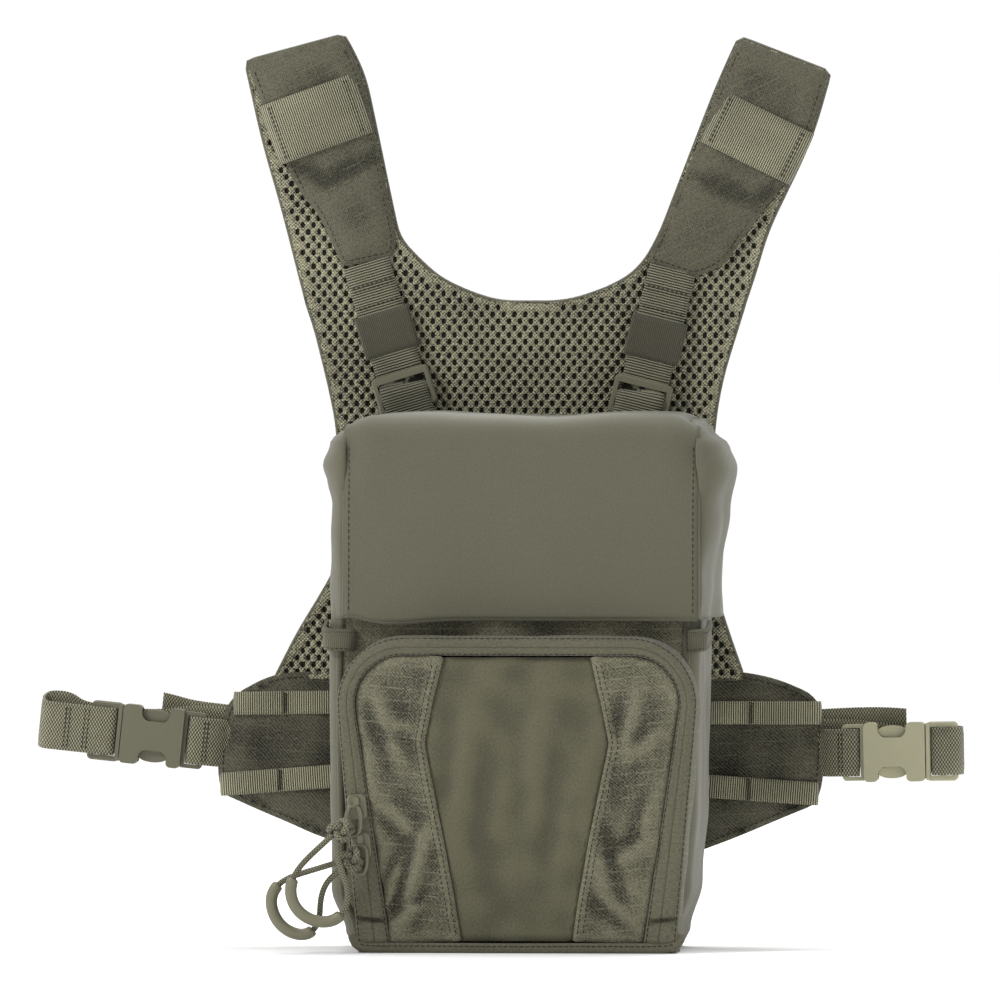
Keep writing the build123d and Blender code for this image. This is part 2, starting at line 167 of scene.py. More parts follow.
def nearest_on(x, z, outline):
    """Distance to a closed outline, and the nearest point on it."""
    best = (1e9, (x, z))
    j = len(outline) - 1
    for i, (xi, zi) in enumerate(outline):
        xj, zj = outline[j]
        dx, dz = xi - xj, zi - zj
        span = dx * dx + dz * dz
        t = 0.0 if span == 0 else max(0.0, min(1.0, ((x - xj) * dx + (z - zj) * dz) / span))
        spot = (xj + t * dx, zj + t * dz)
        gap = math.hypot(x - spot[0], z - spot[1])
        if gap < best[0]:
            best = (gap, spot)
        j = i
    return best


def resampled(points, step, closed=False):
    """Points at even spacing along a polyline."""
    pts = [Vector(p) for p in points]
    if closed:
        pts = pts + [pts[0]]
    lengths = [0.0]
    for a, b in zip(pts, pts[1:]):
        lengths.append(lengths[-1] + (b - a).length)
    count = max(2, round(lengths[-1] / step))
    result = []
    j = 0
    for i in range(count + (0 if closed else 1)):
        target = lengths[-1] * i / count
        while j < len(lengths) - 2 and lengths[j + 1] < target:
            j += 1
        span = lengths[j + 1] - lengths[j]
        result.append(pts[j].lerp(pts[j + 1], (target - lengths[j]) / span if span else 0.0))
    return result


def inside(x, z, outline):
    """True where a point lies within a closed (x, z) outline."""
    hit = False
    j = len(outline) - 1
    for i, (xi, zi) in enumerate(outline):
        xj, zj = outline[j]
        if (zi > z) != (zj > z) and x < (xj - xi) * (z - zi) / (zj - zi) + xi:
            hit = not hit
        j = i
    return hit


def edge_distance(x, z, outline):
    """Distance from a point to a closed (x, z) outline."""
    return nearest_on(x, z, outline)[0]


def node_outlines(node):
    """Closed (x, z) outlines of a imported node's front-facing flat faces, in millimetres."""
    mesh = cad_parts[node].data
    bm = bmesh.new()
    bm.from_mesh(mesh)
    bmesh.ops.remove_doubles(bm, verts=bm.verts, dist=1e-5)
    front = [f for f in bm.faces if f.normal.y < -0.99]
    chosen = set(front)
    links = {}
    for face in front:
        for edge in face.edges:
            if sum(1 for f in edge.link_faces if f in chosen) == 1:
                for vert in edge.verts:
                    links.setdefault(vert, []).append(edge)
    loops = []
    used = set()
    for start in links:
        if start in used:
            continue
        loop = [start]
        used.add(start)
        here = start
        while True:
            step = [e.other_vert(here) for e in links[here] if e.other_vert(here) not in used]
            if not step:
                break
            here = step[0]
            used.add(here)
            loop.append(here)
        loops.append([(v.co.x / MM, v.co.z / MM) for v in loop])
    bm.free()
    return [loop for loop in loops if len(loop) > 2]


# ---- mesh makers
def new_piece(name, verts, faces, finish, uvs=None):
    """Mesh object from millimetre points in a named finish; uvs are per vertex, in millimetres of cloth."""
    mesh = bpy.data.meshes.new(name)
    mesh.from_pydata([(v[0] * MM, v[1] * MM, v[2] * MM) for v in verts], [], faces)
    if uvs is not None:
        layer = mesh.uv_layers.new(name="cloth")
        for loop in mesh.loops:
            layer.data[loop.index].uv = uvs[loop.vertex_index]
    mesh.materials.append(finish_for(finish))
    mesh.validate()
    obj = bpy.data.objects.new(name, mesh)
    bpy.context.scene.collection.objects.link(obj)
    mesh.shade_smooth()
    return obj


def recalc(obj):
    """Point every face outward."""
    bm = bmesh.new()
    bm.from_mesh(obj.data)
    bmesh.ops.recalc_face_normals(bm, faces=bm.faces)
    bm.to_mesh(obj.data)
    bm.free()


def apply_modifiers(obj):
    depsgraph = bpy.context.evaluated_depsgraph_get()
    mesh = bpy.data.meshes.new_from_object(obj.evaluated_get(depsgraph), depsgraph=depsgraph)
    obj.modifiers.clear()
    obj.data = mesh


def thicken(obj, thickness, offset=-1.0):
    """Give a sheet its cloth thickness, in millimetres."""
    mod = obj.modifiers.new("thickness", "SOLIDIFY")
    mod.thickness = thickness * MM
    mod.offset = offset
    mod.use_even_offset = False
    apply_modifiers(obj)


def grid_sheet(name, rows, columns, place, finish, thickness=1.2, offset=-1.0, uv=None):
    """Sheet over a grid: place(u, v) gives a point for u and v from 0 to 1."""
    verts, uvs, faces = [], [], []
    for i in range(rows + 1):
        for j in range(columns + 1):
            u, v = j / columns, i / rows
            point = place(u, v)
            verts.append(point)
            uvs.append(uv(u, v, point) if uv else (point[0], point[2]))
    for i in range(rows):
        for j in range(columns):
            a = i * (columns + 1) + j
            faces.append((a, a + 1, a + columns + 2, a + columns + 1))
    obj = new_piece(name, verts, faces, finish, uvs)
    if thickness:
        thicken(obj, thickness, offset)
    return obj


def outline_sheet(name, outline, step, front, back, finish, turn=0.0):
    """Closed panel cut to an (x, z) outline.

    front(x, z, d) and back(x, z, d) give the depth of its two faces at a point d inside its edge.
    turn is the angle of the cloth's grain.
    """
    edge = [Vector(p) for p in resampled([Vector((x, z)) for x, z in outline], step, closed=True)]
    loop = [(p.x, p.y) for p in edge]
    xs = [p[0] for p in loop]
    zs = [p[1] for p in loop]
    points = [Vector(p) for p in loop]
    row = 0
    z = min(zs) + step / 2
    while z < max(zs):
        x = min(xs) + (step / 2 if row % 2 else 0)
        while x < max(xs):
            if inside(x, z, loop) and edge_distance(x, z, loop) > step * 0.55:
                points.append(Vector((x, z)))
            x += step
        z += step * 0.866
        row += 1
    ring = len(loop)
    result = delaunay_2d_cdt(points, [(i, (i + 1) % ring) for i in range(ring)], [], 1, 1e-4)
    flat, triangles, origins = result[0], result[2], result[3]
    border = {}
    for index, origin in enumerate(origins):
        for source in origin:
            if source < ring:
                border[source] = index
    kept = [t for t in triangles if inside(*(sum((flat[i] for i in t), Vector((0, 0))) / 3), loop)]
    count = len(flat)
    gaps = [0.0 if i in set(border.values()) else edge_distance(p.x, p.y, loop) for i, p in enumerate(flat)]
    verts = [(p.x, front(p.x, p.y, gaps[i]), p.y) for i, p in enumerate(flat)]
    verts += [(p.x, back(p.x, p.y, gaps[i]), p.y) for i, p in enumerate(flat)]
    faces = [tuple(t) for t in kept] + [tuple(i + count for i in reversed(t)) for t in kept]
    for i in range(ring):
        a, b = border[i], border[(i + 1) % ring]
        faces.append((a, b, b + count, a + count))
    cos_t, sin_t = math.cos(turn), math.sin(turn)
    uvs = [(p.x * cos_t + p.y * sin_t, -p.x * sin_t + p.y * cos_t) for p in flat] * 2
    obj = new_piece(name, verts, faces, finish, uvs)
    recalc(obj)
    return obj


def frames_along(points, up):
    """Tangent, side and up vectors at each point of a path."""
    result = []
    for i, here in enumerate(points):
        before = points[max(0, i - 1)]
        after = points[min(len(points) - 1, i + 1)]
        tangent = (Vector(after) - Vector(before)).normalized()
        lift = up(i) if callable(up) else Vector(up)
        side = tangent.cross(lift).normalized()
        result.append((Vector(here), tangent, side, side.cross(tangent).normalized()))
    return result


def skin(size, rings, closed=False):
    """Faces over rings of size points each; an open skin has both of its ends capped."""
    faces = []
    for i in range(rings if closed else rings - 1):
        here, there = i * size, (i + 1) % rings * size
        for j in range(size):
            k = (j + 1) % size
            faces.append((here + j, here + k, there + k, there + j))
    if not closed:
        faces.append(tuple(range(size - 1, -1, -1)))
        faces.append(tuple(range((rings - 1) * size, rings * size)))
    return faces


def ribbon_data(points, width, sheet, up, crown=0.0, columns=6):
    """Vertices, faces and cloth coordinates of a webbing strap along a path."""
    verts, uvs = [], []
    run = 0.0
    section = []
    for j in range(columns + 1):
        section.append((lerp(-1, 1, j / columns), 1))
    for j in range(columns + 1):
        section.append((lerp(1, -1, j / columns), -1))
    size = len(section)
    stations = frames_along(points, up)
    for i, (here, _, side, lift) in enumerate(stations):
        if i:
            run += (here - stations[i - 1][0]).length
        wide = width(i / (len(stations) - 1)) if callable(width) else width
        for across, face in section:
            rim = 0.72 if abs(across) > 0.99 else 1.0
            rise = face * sheet / 2 * rim + crown * (1 - across * across)
            verts.append(here + side * (across * wide / 2) + lift * rise)
            uvs.append((across * wide / 2, run))
    return verts, skin(size, len(stations)), uvs


def ribbon(name, points, width, sheet, up, finish, step=1.5, crown=0.0, round_turns=2):
    """Strap of webbing along given points."""
    path = resampled(rounded(points, round_turns), step)
    return swept_piece(name, [ribbon_data(path, width, sheet, up, crown)], finish)


def tube_data(points, radius, sides=8, closed=False, flat=1.0, up=FORWARD_CORD):
    """Vertices and faces of a round cord or piping along a path."""
    verts, uvs = [], []
    run = 0.0
    stations = frames_along(points, up)
    for i, (here, _, side, lift) in enumerate(stations):
        if i:
            run += (here - stations[i - 1][0]).length
        wide = radius(i / (len(stations) - 1)) if callable(radius) else radius
        for j in range(sides):
            angle = 2 * math.pi * j / sides
            verts.append(here + side * (math.cos(angle) * wide) + lift * (math.sin(angle) * wide * flat))
            uvs.append((j / sides * 2 * math.pi * wide, run))
    return verts, skin(sides, len(stations), closed), uvs


def stitches(name, rows, pitch=2.5, length=1.7, width=0.42):
    """Thread stitches sunk along rows: each row is (points, up vector)."""
    verts, faces = [], []
    for points, up in rows:
        run = resampled(points, pitch)
        lift = Vector(up).normalized()
        for a, b in zip(run, run[1:]):
            along = (b - a).normalized()
            side = along.cross(lift).normalized()
            middle = (a + b) / 2
            base = len(verts)
            for end in (-0.5, -0.28, 0.28, 0.5):
                tip = abs(end) == 0.5
                centre = middle + along * (end * length) - lift * (0.12 if tip else 0)
                wide = width * (0.25 if tip else 0.5)
                for turn in range(THREAD_SIDES):
                    angle = 2 * math.pi * turn / THREAD_SIDES
                    spoke = side * (math.cos(angle) * wide)
                    verts.append(centre + spoke + lift * (math.sin(angle) * wide * 0.8))
            faces += [tuple(base + i for i in face) for face in skin(THREAD_SIDES, 4)]
    return new_piece(name, verts, faces, "thread")


def bar_tack(start, end, up, passes=9, width=2.2):
    """Zigzag path of a bar tack between two points."""
    start, end = Vector(start), Vector(end)
    along = (end - start).normalized()
    side = along.cross(Vector(up)).normalized()
    points = []
    for i in range(passes * 2 + 1):
        t = i / (passes * 2)
        points.append(start.lerp(end, t) + side * (width / 2 if i % 2 else -width / 2))
    return points


def join_data(parts):
    """Join (verts, faces, uvs) triples into one."""
    verts, faces, uvs = [], [], []
    for v, f, t in parts:
        base = len(verts)
        verts += list(v)
        faces += [tuple(i + base for i in face) for face in f]
        uvs += list(t)
    return verts, faces, uvs


def swept_piece(name, parts, finish, outward=True):
    """One object from (verts, faces, uvs) triples, in a named finish."""
    verts, faces, uvs = join_data(parts)
    obj = new_piece(name, verts, faces, finish, uvs)
    if outward:
        recalc(obj)
    return obj


def sew(name, rows, body, slot, *sizes):
    """Thread stitches along rows, hung on a body; sizes are pitch, length and width."""
    return settle(stitches(name, rows, *sizes), body, slot)


CLOTH_STEPS = 14
FULL_STIFFNESS = 40
THREAD_SIDES = 5


def puff(obj, pressure, cap):
    """Swell a closed padded piece by a short cloth simulation, moving no point beyond cap millimetres."""
    before = [v.co.copy() for v in obj.data.vertices]
    scene = bpy.context.scene
    mod = obj.modifiers.new("swell", "CLOTH")
    settings = mod.settings
    settings.quality = 4
    settings.mass = 0.3
    settings.tension_stiffness = FULL_STIFFNESS
    settings.compression_stiffness = FULL_STIFFNESS
    settings.bending_stiffness = 2.0
    settings.use_pressure = True
    settings.uniform_pressure_force = pressure
    settings.effector_weights.gravity = 0
    mod.point_cache.frame_start = 1
    mod.point_cache.frame_end = CLOTH_STEPS
    for step in range(1, CLOTH_STEPS + 1):
        scene.frame_set(step)
    depsgraph = bpy.context.evaluated_depsgraph_get()
    swollen = obj.evaluated_get(depsgraph).to_mesh()
    after = [v.co.copy() for v in swollen.vertices]
    obj.evaluated_get(depsgraph).to_mesh_clear()
    obj.modifiers.clear()
    scene.frame_set(1)
    for vert, old, new in zip(obj.data.vertices, before, after):
        move = new - old
        reach = move.length
        vert.co = old + move * (min(1.0, cap * MM / reach) if reach > 1e-9 else 0.0)


def mark_painted_crease_shade(obj, passes=9, depth=0.35):
    """Store how far each point lies in a crease, 1 in a valley and -1 on a ridge: the painted crease shade of
    the woven finishes.
    """
    bm = bmesh.new()
    bm.from_mesh(obj.data)
    start = [(v.co.copy(), v.normal.copy()) for v in bm.verts]
    for _ in range(passes):
        bmesh.ops.smooth_vert(bm, verts=bm.verts, factor=0.6, use_axis_x=True, use_axis_y=True,
                              use_axis_z=True)
    levels = [(v.co - place).dot(normal) / (depth * MM) for v, (place, normal) in zip(bm.verts, start)]
    layer = obj.data.attributes.new("hollow", "FLOAT", "POINT")
    layer.data.foreach_set("value", [max(-1.0, min(1.0, level)) for level in levels])
    bm.free()


def settle(obj, body, slot, *nodes):
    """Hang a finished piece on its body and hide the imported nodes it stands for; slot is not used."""
    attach(obj, body)
    if nodes:
        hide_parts(*nodes)
    return obj


# ---- shader node groups
def new_group(name, inputs, outputs):
    """Empty shader node group with named sockets."""
    group = bpy.data.node_groups.new(name, "ShaderNodeTree")
    for label, kind, default in inputs:
        socket = group.interface.new_socket(name=label, in_out="INPUT", socket_type=kind)
        if default is not None:
            socket.default_value = default
    for label, kind in outputs:
        group.interface.new_socket(name=label, in_out="OUTPUT", socket_type=kind)
    start = group.nodes.new("NodeGroupInput")
    end = group.nodes.new("NodeGroupOutput")
    return group, start, end


def math_node(tree, operation, a, b=None, c=None):
    """Math node fed by sockets or numbers; returns its output."""
    node = tree.nodes.new("ShaderNodeMath")
    node.operation = operation
    for socket, value in zip(node.inputs, (a, b, c)):
        if value is None:
            continue
        if isinstance(value, (int, float)):
            socket.default_value = value
        else:
            tree.links.new(value, socket)
    return node.outputs[0]


def split_vector(tree, vector):
    node = tree.nodes.new("ShaderNodeSeparateXYZ")
    tree.links.new(vector, node.inputs[0])
    return node.outputs[0], node.outputs[1], node.outputs[2]


def wave(tree, value, pitch):
    """0 to 1 wave along a cloth coordinate."""
    calc = partial(math_node, tree)
    turns = calc("DIVIDE", value, pitch)
    angle = calc("MULTIPLY", turns, 2 * math.pi)
    return calc("MULTIPLY_ADD", calc("SINE", angle), 0.5, 0.5)


def line_mask(tree, value, pitch, width):
    """1 on thin lines that repeat along a cloth coordinate, else 0, with soft edges."""
    calc = partial(math_node, tree)
    cell = calc("PINGPONG", value, calc("MULTIPLY", pitch, 0.5))
    edge = calc("DIVIDE", cell, width)
    return calc("SUBTRACT", 1.0, calc("MINIMUM", edge, 1.0))


def cloth_noise(group, start, scale, detail):
    """Noise from 0 to 1 over the cloth coordinates."""
    node = group.nodes.new("ShaderNodeTexNoise")
    node.inputs["Scale"].default_value = scale
    node.inputs["Detail"].default_value = detail
    group.links.new(start.outputs["Cloth"], node.inputs["Vector"])
    return node.outputs["Fac"]


def weave_group():
    """Weave: over-and-under thread crowns mixed with diagonal twill ribs, and a thread shade."""
    group, start, end = new_group(
        "Weave",
        [
            ("Cloth", "NodeSocketVector", None),
            ("Thread", "NodeSocketFloat", 0.55),
            ("Twill", "NodeSocketFloat", 0.0),
        ],
        [("Height", "NodeSocketFloat"), ("Shade", "NodeSocketFloat")],
    )
    calc = partial(math_node, group)
    u, v, _ = split_vector(group, start.outputs["Cloth"])
    double = calc("MULTIPLY", start.outputs["Thread"], 2.0)
    warp = wave(group, u, double)
    weft = wave(group, v, double)
    together = calc("MULTIPLY", warp, weft)
    other = math_node(group, "MULTIPLY", calc("SUBTRACT", 1.0, warp), calc("SUBTRACT", 1.0, weft))
    plain = calc("ADD", together, other)
    slant = calc("MULTIPLY", calc("ADD", u, v), 0.7)
    diagonal = wave(group, slant, calc("MULTIPLY", start.outputs["Thread"], 1.7))
    step = calc("MULTIPLY", calc("SUBTRACT", diagonal, plain), start.outputs["Twill"])
    height = calc("ADD", plain, step)
    group.links.new(height, end.inputs["Height"])
    speck = calc("MULTIPLY", calc("SUBTRACT", cloth_noise(group, start, 1.1, 2.0), 0.5), 2.6)
    shade = calc("ADD", calc("SUBTRACT", height, 0.5), speck)
    group.links.new(shade, end.inputs["Shade"])
    return group


def ripstop_group():
    """Raised double threads in a square grid."""
    group, start, end = new_group(
        "Ripstop grid",
        [
            ("Cloth", "NodeSocketVector", None),
            ("Square", "NodeSocketFloat", 6.0),
            ("Line", "NodeSocketFloat", 0.42),
        ],
        [("Line mask", "NodeSocketFloat")],
    )
    calc = partial(math_node, group)
    u, v, _ = split_vector(group, start.outputs["Cloth"])
    upright = calc("MULTIPLY", line_mask(group, u, start.outputs["Square"], start.outputs["Line"]), 0.35)
    level = line_mask(group, v, start.outputs["Square"], start.outputs["Line"])
    seen = calc("MULTIPLY_ADD", cloth_noise(group, start, 0.22, 1.0), 4.0, -1.6)
    seen = calc("MINIMUM", calc("MAXIMUM", seen, 0.1), 1.0)
    lines = calc("MULTIPLY", calc("MAXIMUM", upright, level), seen)
    group.links.new(lines, end.inputs["Line mask"])
    return group


def rib_group():
    """Webbing: ribs across the strap and fine lengthwise threads."""
    group, start, end = new_group(
        "Webbing ribs",
        [
            ("Cloth", "NodeSocketVector", None),
            ("Rib", "NodeSocketFloat", 1.15),
            ("Thread", "NodeSocketFloat", 0.8),
            ("Stagger", "NodeSocketFloat", 0.1),
        ],
        [("Height", "NodeSocketFloat"), ("Groove", "NodeSocketFloat")],
    )
    calc = partial(math_node, group)
    u, v, _ = split_vector(group, start.outputs["Cloth"])
    half = calc("MULTIPLY", start.outputs["Thread"], 0.5)
    column = calc("FLOOR", calc("DIVIDE", u, start.outputs["Thread"]))
    stagger = calc("MULTIPLY", calc("MODULO", column, 2.0), start.outputs["Stagger"])
    shifted = calc("ADD", v, calc("MULTIPLY", stagger, start.outputs["Rib"]))
    rib = wave(group, shifted, start.outputs["Rib"])
    thread = calc("DIVIDE", calc("PINGPONG", u, half), half)
    height = calc("MULTIPLY_ADD", thread, 0.35, rib)
    group.links.new(height, end.inputs["Height"])
    groove = calc("POWER", calc("SUBTRACT", 1.0, rib), 2.0)
    group.links.new(groove, end.inputs["Groove"])
    return group


def wear_group():
    """Slow tone drift of dyed cloth and moulded plastic, from 0 to 1, with fine specks."""
    group, start, end = new_group(
        "Tone drift",
        [
            ("Place", "NodeSocketVector", None),
            ("Size", "NodeSocketFloat", 22.0),
            ("Speck", "NodeSocketFloat", 900.0),
        ],
        [("Tone", "NodeSocketFloat"), ("Specks", "NodeSocketFloat")],
    )
    for label, size, detail, output in (("slow", "Size", 4.0, "Tone"), ("fine", "Speck", 2.0, "Specks")):
        node = group.nodes.new("ShaderNodeTexNoise")
        node.label = label
        node.inputs["Detail"].default_value = detail
        group.links.new(start.outputs["Place"], node.inputs["Vector"])
        group.links.new(start.outputs[size], node.inputs["Scale"])
        group.links.new(node.outputs["Fac"], end.inputs[output])
    return group


GROUPS = {}


def group_node(tree, label):
    makers = {"weave": weave_group, "ripstop": ripstop_group, "rib": rib_group, "tone": wear_group}
    if label not in GROUPS:
        GROUPS[label] = makers[label]()
    node = tree.nodes.new("ShaderNodeGroup")
    node.node_tree = GROUPS[label]
    return node


# ---- materials
def start_material(name, roughness, sheen=0.0):
    """Material with a Principled shader, cloth coordinates and a tone drift."""
    material = bpy.data.materials.new(name)
    material.use_nodes = True
    tree = material.node_tree
    shader = tree.nodes["Principled BSDF"]
    shader.inputs["Roughness"].default_value = roughness
    shader.inputs["Specular IOR Level"].default_value = 0.3
    if sheen:
        shader.inputs["Sheen Weight"].default_value = sheen
        shader.inputs["Sheen Roughness"].default_value = 0.5
    uv = tree.nodes.new("ShaderNodeUVMap")
    uv.uv_map = "cloth"
    place = tree.nodes.new("ShaderNodeTexCoord")
    tone = group_node(tree, "tone")
    tree.links.new(place.outputs["Object"], tone.inputs["Place"])
    return material, tree, shader, uv.outputs[0], tone


def shade_between(tree, factor, dark, light):
    """Colour between two tones."""
    mix = tree.nodes.new("ShaderNodeMix")
    mix.data_type = "RGBA"
    mix.inputs["A"].default_value = (*dark, 1)
    mix.inputs["B"].default_value = (*light, 1)
    tree.links.new(factor, mix.inputs["Factor"])
    return mix.outputs["Result"]


def scaled(colour, k):
    return tuple(min(1.0, c * k) for c in colour)


def bump(tree, shader, height, depth, strength=0.6):
    """Feed a height, in millimetres, to the shader's normal."""
    node = tree.nodes.new("ShaderNodeBump")
    node.inputs["Strength"].default_value = strength
    node.inputs["Distance"].default_value = depth * MM
    tree.links.new(height, node.inputs["Height"])
    tree.links.new(node.outputs["Normal"], shader.inputs["Normal"])
    return node


def woven(name, colour, thread=0.55, depth=0.12, contrast=0.16, roughness=0.85, sheen=0.15, grid=False,
          twill=0.0,
          hollow_shade=0.3):
    """Woven cloth with painted shade darkening its creases and lightening its ridges; grid adds ripstop
    squares.
    """
    material, tree, shader, cloth, tone = start_material(name, roughness, sheen)
    calc = partial(math_node, tree)
    weave = group_node(tree, "weave")
    tree.links.new(cloth, weave.inputs["Cloth"])
    weave.inputs["Thread"].default_value = thread
    weave.inputs["Twill"].default_value = twill
    drift = calc("MULTIPLY", calc("SUBTRACT", tone.outputs["Tone"], 0.5), 0.7)
    factor = calc("MULTIPLY_ADD", weave.outputs["Shade"], 0.7, calc("ADD", drift, 0.47))
    # Painted shade: the colour darkens in creases and lightens on ridges by the stored crease depth.
    hollow = tree.nodes.new("ShaderNodeAttribute")
    hollow.attribute_name = "hollow"
    factor = calc("MULTIPLY_ADD", hollow.outputs["Fac"], -hollow_shade, factor)
    height = weave.outputs["Height"]
    if grid:
        lines = group_node(tree, "ripstop")
        lines.inputs["Square"].default_value = bpy.context.scene.harness_pack.ripstop_square / MM
        tree.links.new(cloth, lines.inputs["Cloth"])
        height = calc("MULTIPLY_ADD", lines.outputs["Line mask"], 0.8, height)
        factor = calc("MULTIPLY_ADD", lines.outputs["Line mask"], 0.75, factor)
    colour_out = shade_between(tree, factor, scaled(colour, 1 - contrast), scaled(colour, 1 + contrast))
    tree.links.new(colour_out, shader.inputs["Base Color"])
    bump(tree, shader, height, depth, 0.9)
    return material


def ribbed(name, colour, rib=1.15, thread=0.8, depth=0.22, contrast=0.28, roughness=0.72, stagger=0.1):
    """Ribbed webbing or elastic."""
    material, tree, shader, cloth, tone = start_material(name, roughness, 0.15)
    calc = partial(math_node, tree)
    ribs = group_node(tree, "rib")
    tree.links.new(cloth, ribs.inputs["Cloth"])
    ribs.inputs["Rib"].default_value = rib
    ribs.inputs["Thread"].default_value = thread
    ribs.inputs["Stagger"].default_value = stagger
    factor = calc("SUBTRACT", ribs.outputs["Height"], ribs.outputs["Groove"])
    factor = calc("MULTIPLY_ADD", factor, 0.6, tone.outputs["Tone"])
    factor = calc("SUBTRACT", factor, 0.3)
    colour_out = shade_between(tree, factor, scaled(colour, 1 - contrast), scaled(colour, 1 + contrast * 0.6))
    tree.links.new(colour_out, shader.inputs["Base Color"])
    bump(tree, shader, ribs.outputs["Height"], depth, 1.0)
    return material


def moulded(name, colour, roughness=0.48, grain=0.05, metallic=0.0):
    """Moulded plastic or enamelled metal with a fine spark-eroded grain."""
    material, tree, shader, _, tone = start_material(name, roughness)
    calc = partial(math_node, tree)
    shader.inputs["Metallic"].default_value = metallic
    tone.inputs["Speck"].default_value = 2600.0
    factor = calc("MULTIPLY_ADD", tone.outputs["Specks"], 0.5, tone.outputs["Tone"])
    factor = calc("SUBTRACT", factor, 0.3)
    tree.links.new(shade_between(tree, factor, scaled(colour, 0.88), scaled(colour, 1.14)),
                   shader.inputs["Base Color"])
    rough = calc("MULTIPLY_ADD", tone.outputs["Specks"], 0.18, roughness - 0.09)
    tree.links.new(rough, shader.inputs["Roughness"])
    bump(tree, shader, tone.outputs["Specks"], grain)
    return material


def plain(name, colour, roughness):
    """Matt studio paper, the same all over."""
    material, _, shader, _, _ = start_material(name, roughness)
    shader.inputs["Base Color"].default_value = (*colour, 1)
    shader.inputs["Specular IOR Level"].default_value = 0.0
    return material


MATERIALS = {}


def finish_for(label):
    """Material by plain name, made when first asked for."""
    if label in MATERIALS:
        return MATERIALS[label]
    tones = bpy.context.scene.harness_pack
    shell = tuple(tones.softshell_tone)
    rip = tuple(tones.ripstop_tone)
    web = tuple(tones.webbing_tone)
    plastic = tuple(tones.plastic_tone)
    mesh = tuple(tones.mesh_tone)
    makers = {
        "softshell": (woven, (shell, 0.34, 0.05, 0.12, 0.8, 0.2)),
        "lining": (woven, (scaled(shell, 0.7), 0.5, 0.06, 0.15, 0.85, 0.1)),
        "ripstop": (woven, (scaled(rip, 1.1), 0.66, 0.3, 0.8, 0.82, 0.12), {"grid": True, "twill": 0.3}),
        # Painted shade: the wing ripstop is darkened to stand in for the shade on the wings behind the pouch.
        "wing_cloth": (woven, (scaled(rip, 0.53), 0.7, 0.3, 0.9, 0.85, 0.1), {"grid": True, "twill": 0.6}),
        "pad_cloth": (woven, (scaled(rip, 0.66), 0.6, 0.18, 0.7, 0.85, 0.12), {"grid": True, "twill": 0.2}),
        "stretch": (woven, (tuple(tones.stretch_tone), 0.4, 0.05, 0.3, 0.75, 0.25), {"hollow_shade": 0.36}),
        "mesh": (woven, (mesh, 0.75, 0.5, 0.95, 0.8, 0.15)),
        # Painted shade: a near-black sheet seen through the mesh holes.
        "mesh_core": (woven, (scaled(mesh, 0.07), 0.9, 0.2, 0.3, 0.95, 0.0)),
        "binding": (ribbed, (scaled(rip, 1.1), 0.9, 0.55, 0.14, 0.3, 0.8)),
        "webbing": (ribbed, (scaled(web, 1.22), 1.25, 1.0, 0.34, 0.85), {"stagger": 0.5}),
        "strap": (ribbed, (scaled(web, 0.84), 1.1, 1.0, 0.34, 0.95), {"stagger": 0.06}),
        "band": (ribbed, (scaled(web, 1.42), 0.95, 0.8, 0.3, 0.9), {"stagger": 0.05}),
        "elastic": (ribbed, (scaled(rip, 0.72), 0.8, 0.5, 0.14, 0.4, 0.85)),
        "tab_cloth": (ribbed, (scaled(rip, 1.15), 0.8, 0.6, 0.12, 0.35, 0.85)),
        "tape": (woven, (scaled(rip, 1.12), 0.42, 0.12, 0.35, 0.82, 0.1), {"twill": 0.6}),
        "coil": (moulded, (scaled(rip, 0.62), 0.5)),
        "thread": (moulded, (scaled(rip, 0.2), 0.8, 0.02)),
        "plastic": (moulded, (plastic, 0.42, 0.04)),
        "plastic_pale": (moulded, (scaled(plastic, 2.9), 0.36, 0.04)),
        "metal": (moulded, (scaled(plastic, 1.1), 0.3, 0.02, 0.2)),
        "grip": (moulded, (scaled(plastic, 1.35), 0.38, 0.02)),
        "cord": (ribbed, (scaled(rip, 1.75), 1.3, 0.9, 0.3, 0.7, 0.8), {"stagger": 0.5}),
        "board": (moulded, ((0.03, 0.03, 0.03), 0.5)),
        "magnet": (moulded, ((0.5, 0.5, 0.52), 0.3, 0.01, 1.0)),
        "floor": (plain, ((0.9, 0.9, 0.9), 0.95)),
    }
    maker, values, *named = makers[label]
    MATERIALS[label] = maker(label, *values, **(named[0] if named else {}))
    return MATERIALS[label]


def dress(node, label):
    """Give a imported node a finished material."""
    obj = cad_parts[node]
    material = finish_for(label)
    if not obj.material_slots:
        obj.data.materials.append(material)
    for material_slot in obj.material_slots:
        material_slot.material = material


# ---- pouch body
LEFT_FULL = -82.2
RIGHT_FULL = 74.8
LEFT_FOOT = -71.0
RIGHT_FOOT = 62.0
EDGE_ROUND = 6.0
BODY_TOP = SHELL_TOP - 1.0


def side_x(sign, z):
    """How far the pouch's side stands out at one height."""
    if sign < 0:
        return table_value([(0, LEFT_FOOT), (8, -75.0), (26, LEFT_FULL + 1.2), (110, LEFT_FULL),
                            (214, -78.0)], z)
    return table_value([(0, RIGHT_FOOT), (8, 65.5), (28, 71.0), (60, 73.4), (125, RIGHT_FULL), (214, 75.0)],
                       z)


def front_edge_x(sign, z):
    """X of the piped seam between the front and the side."""
    inset = table_value([(0, 3.0), (30, 6.0), (214, 5.0)], z)
    return side_x(sign, z) - sign * inset


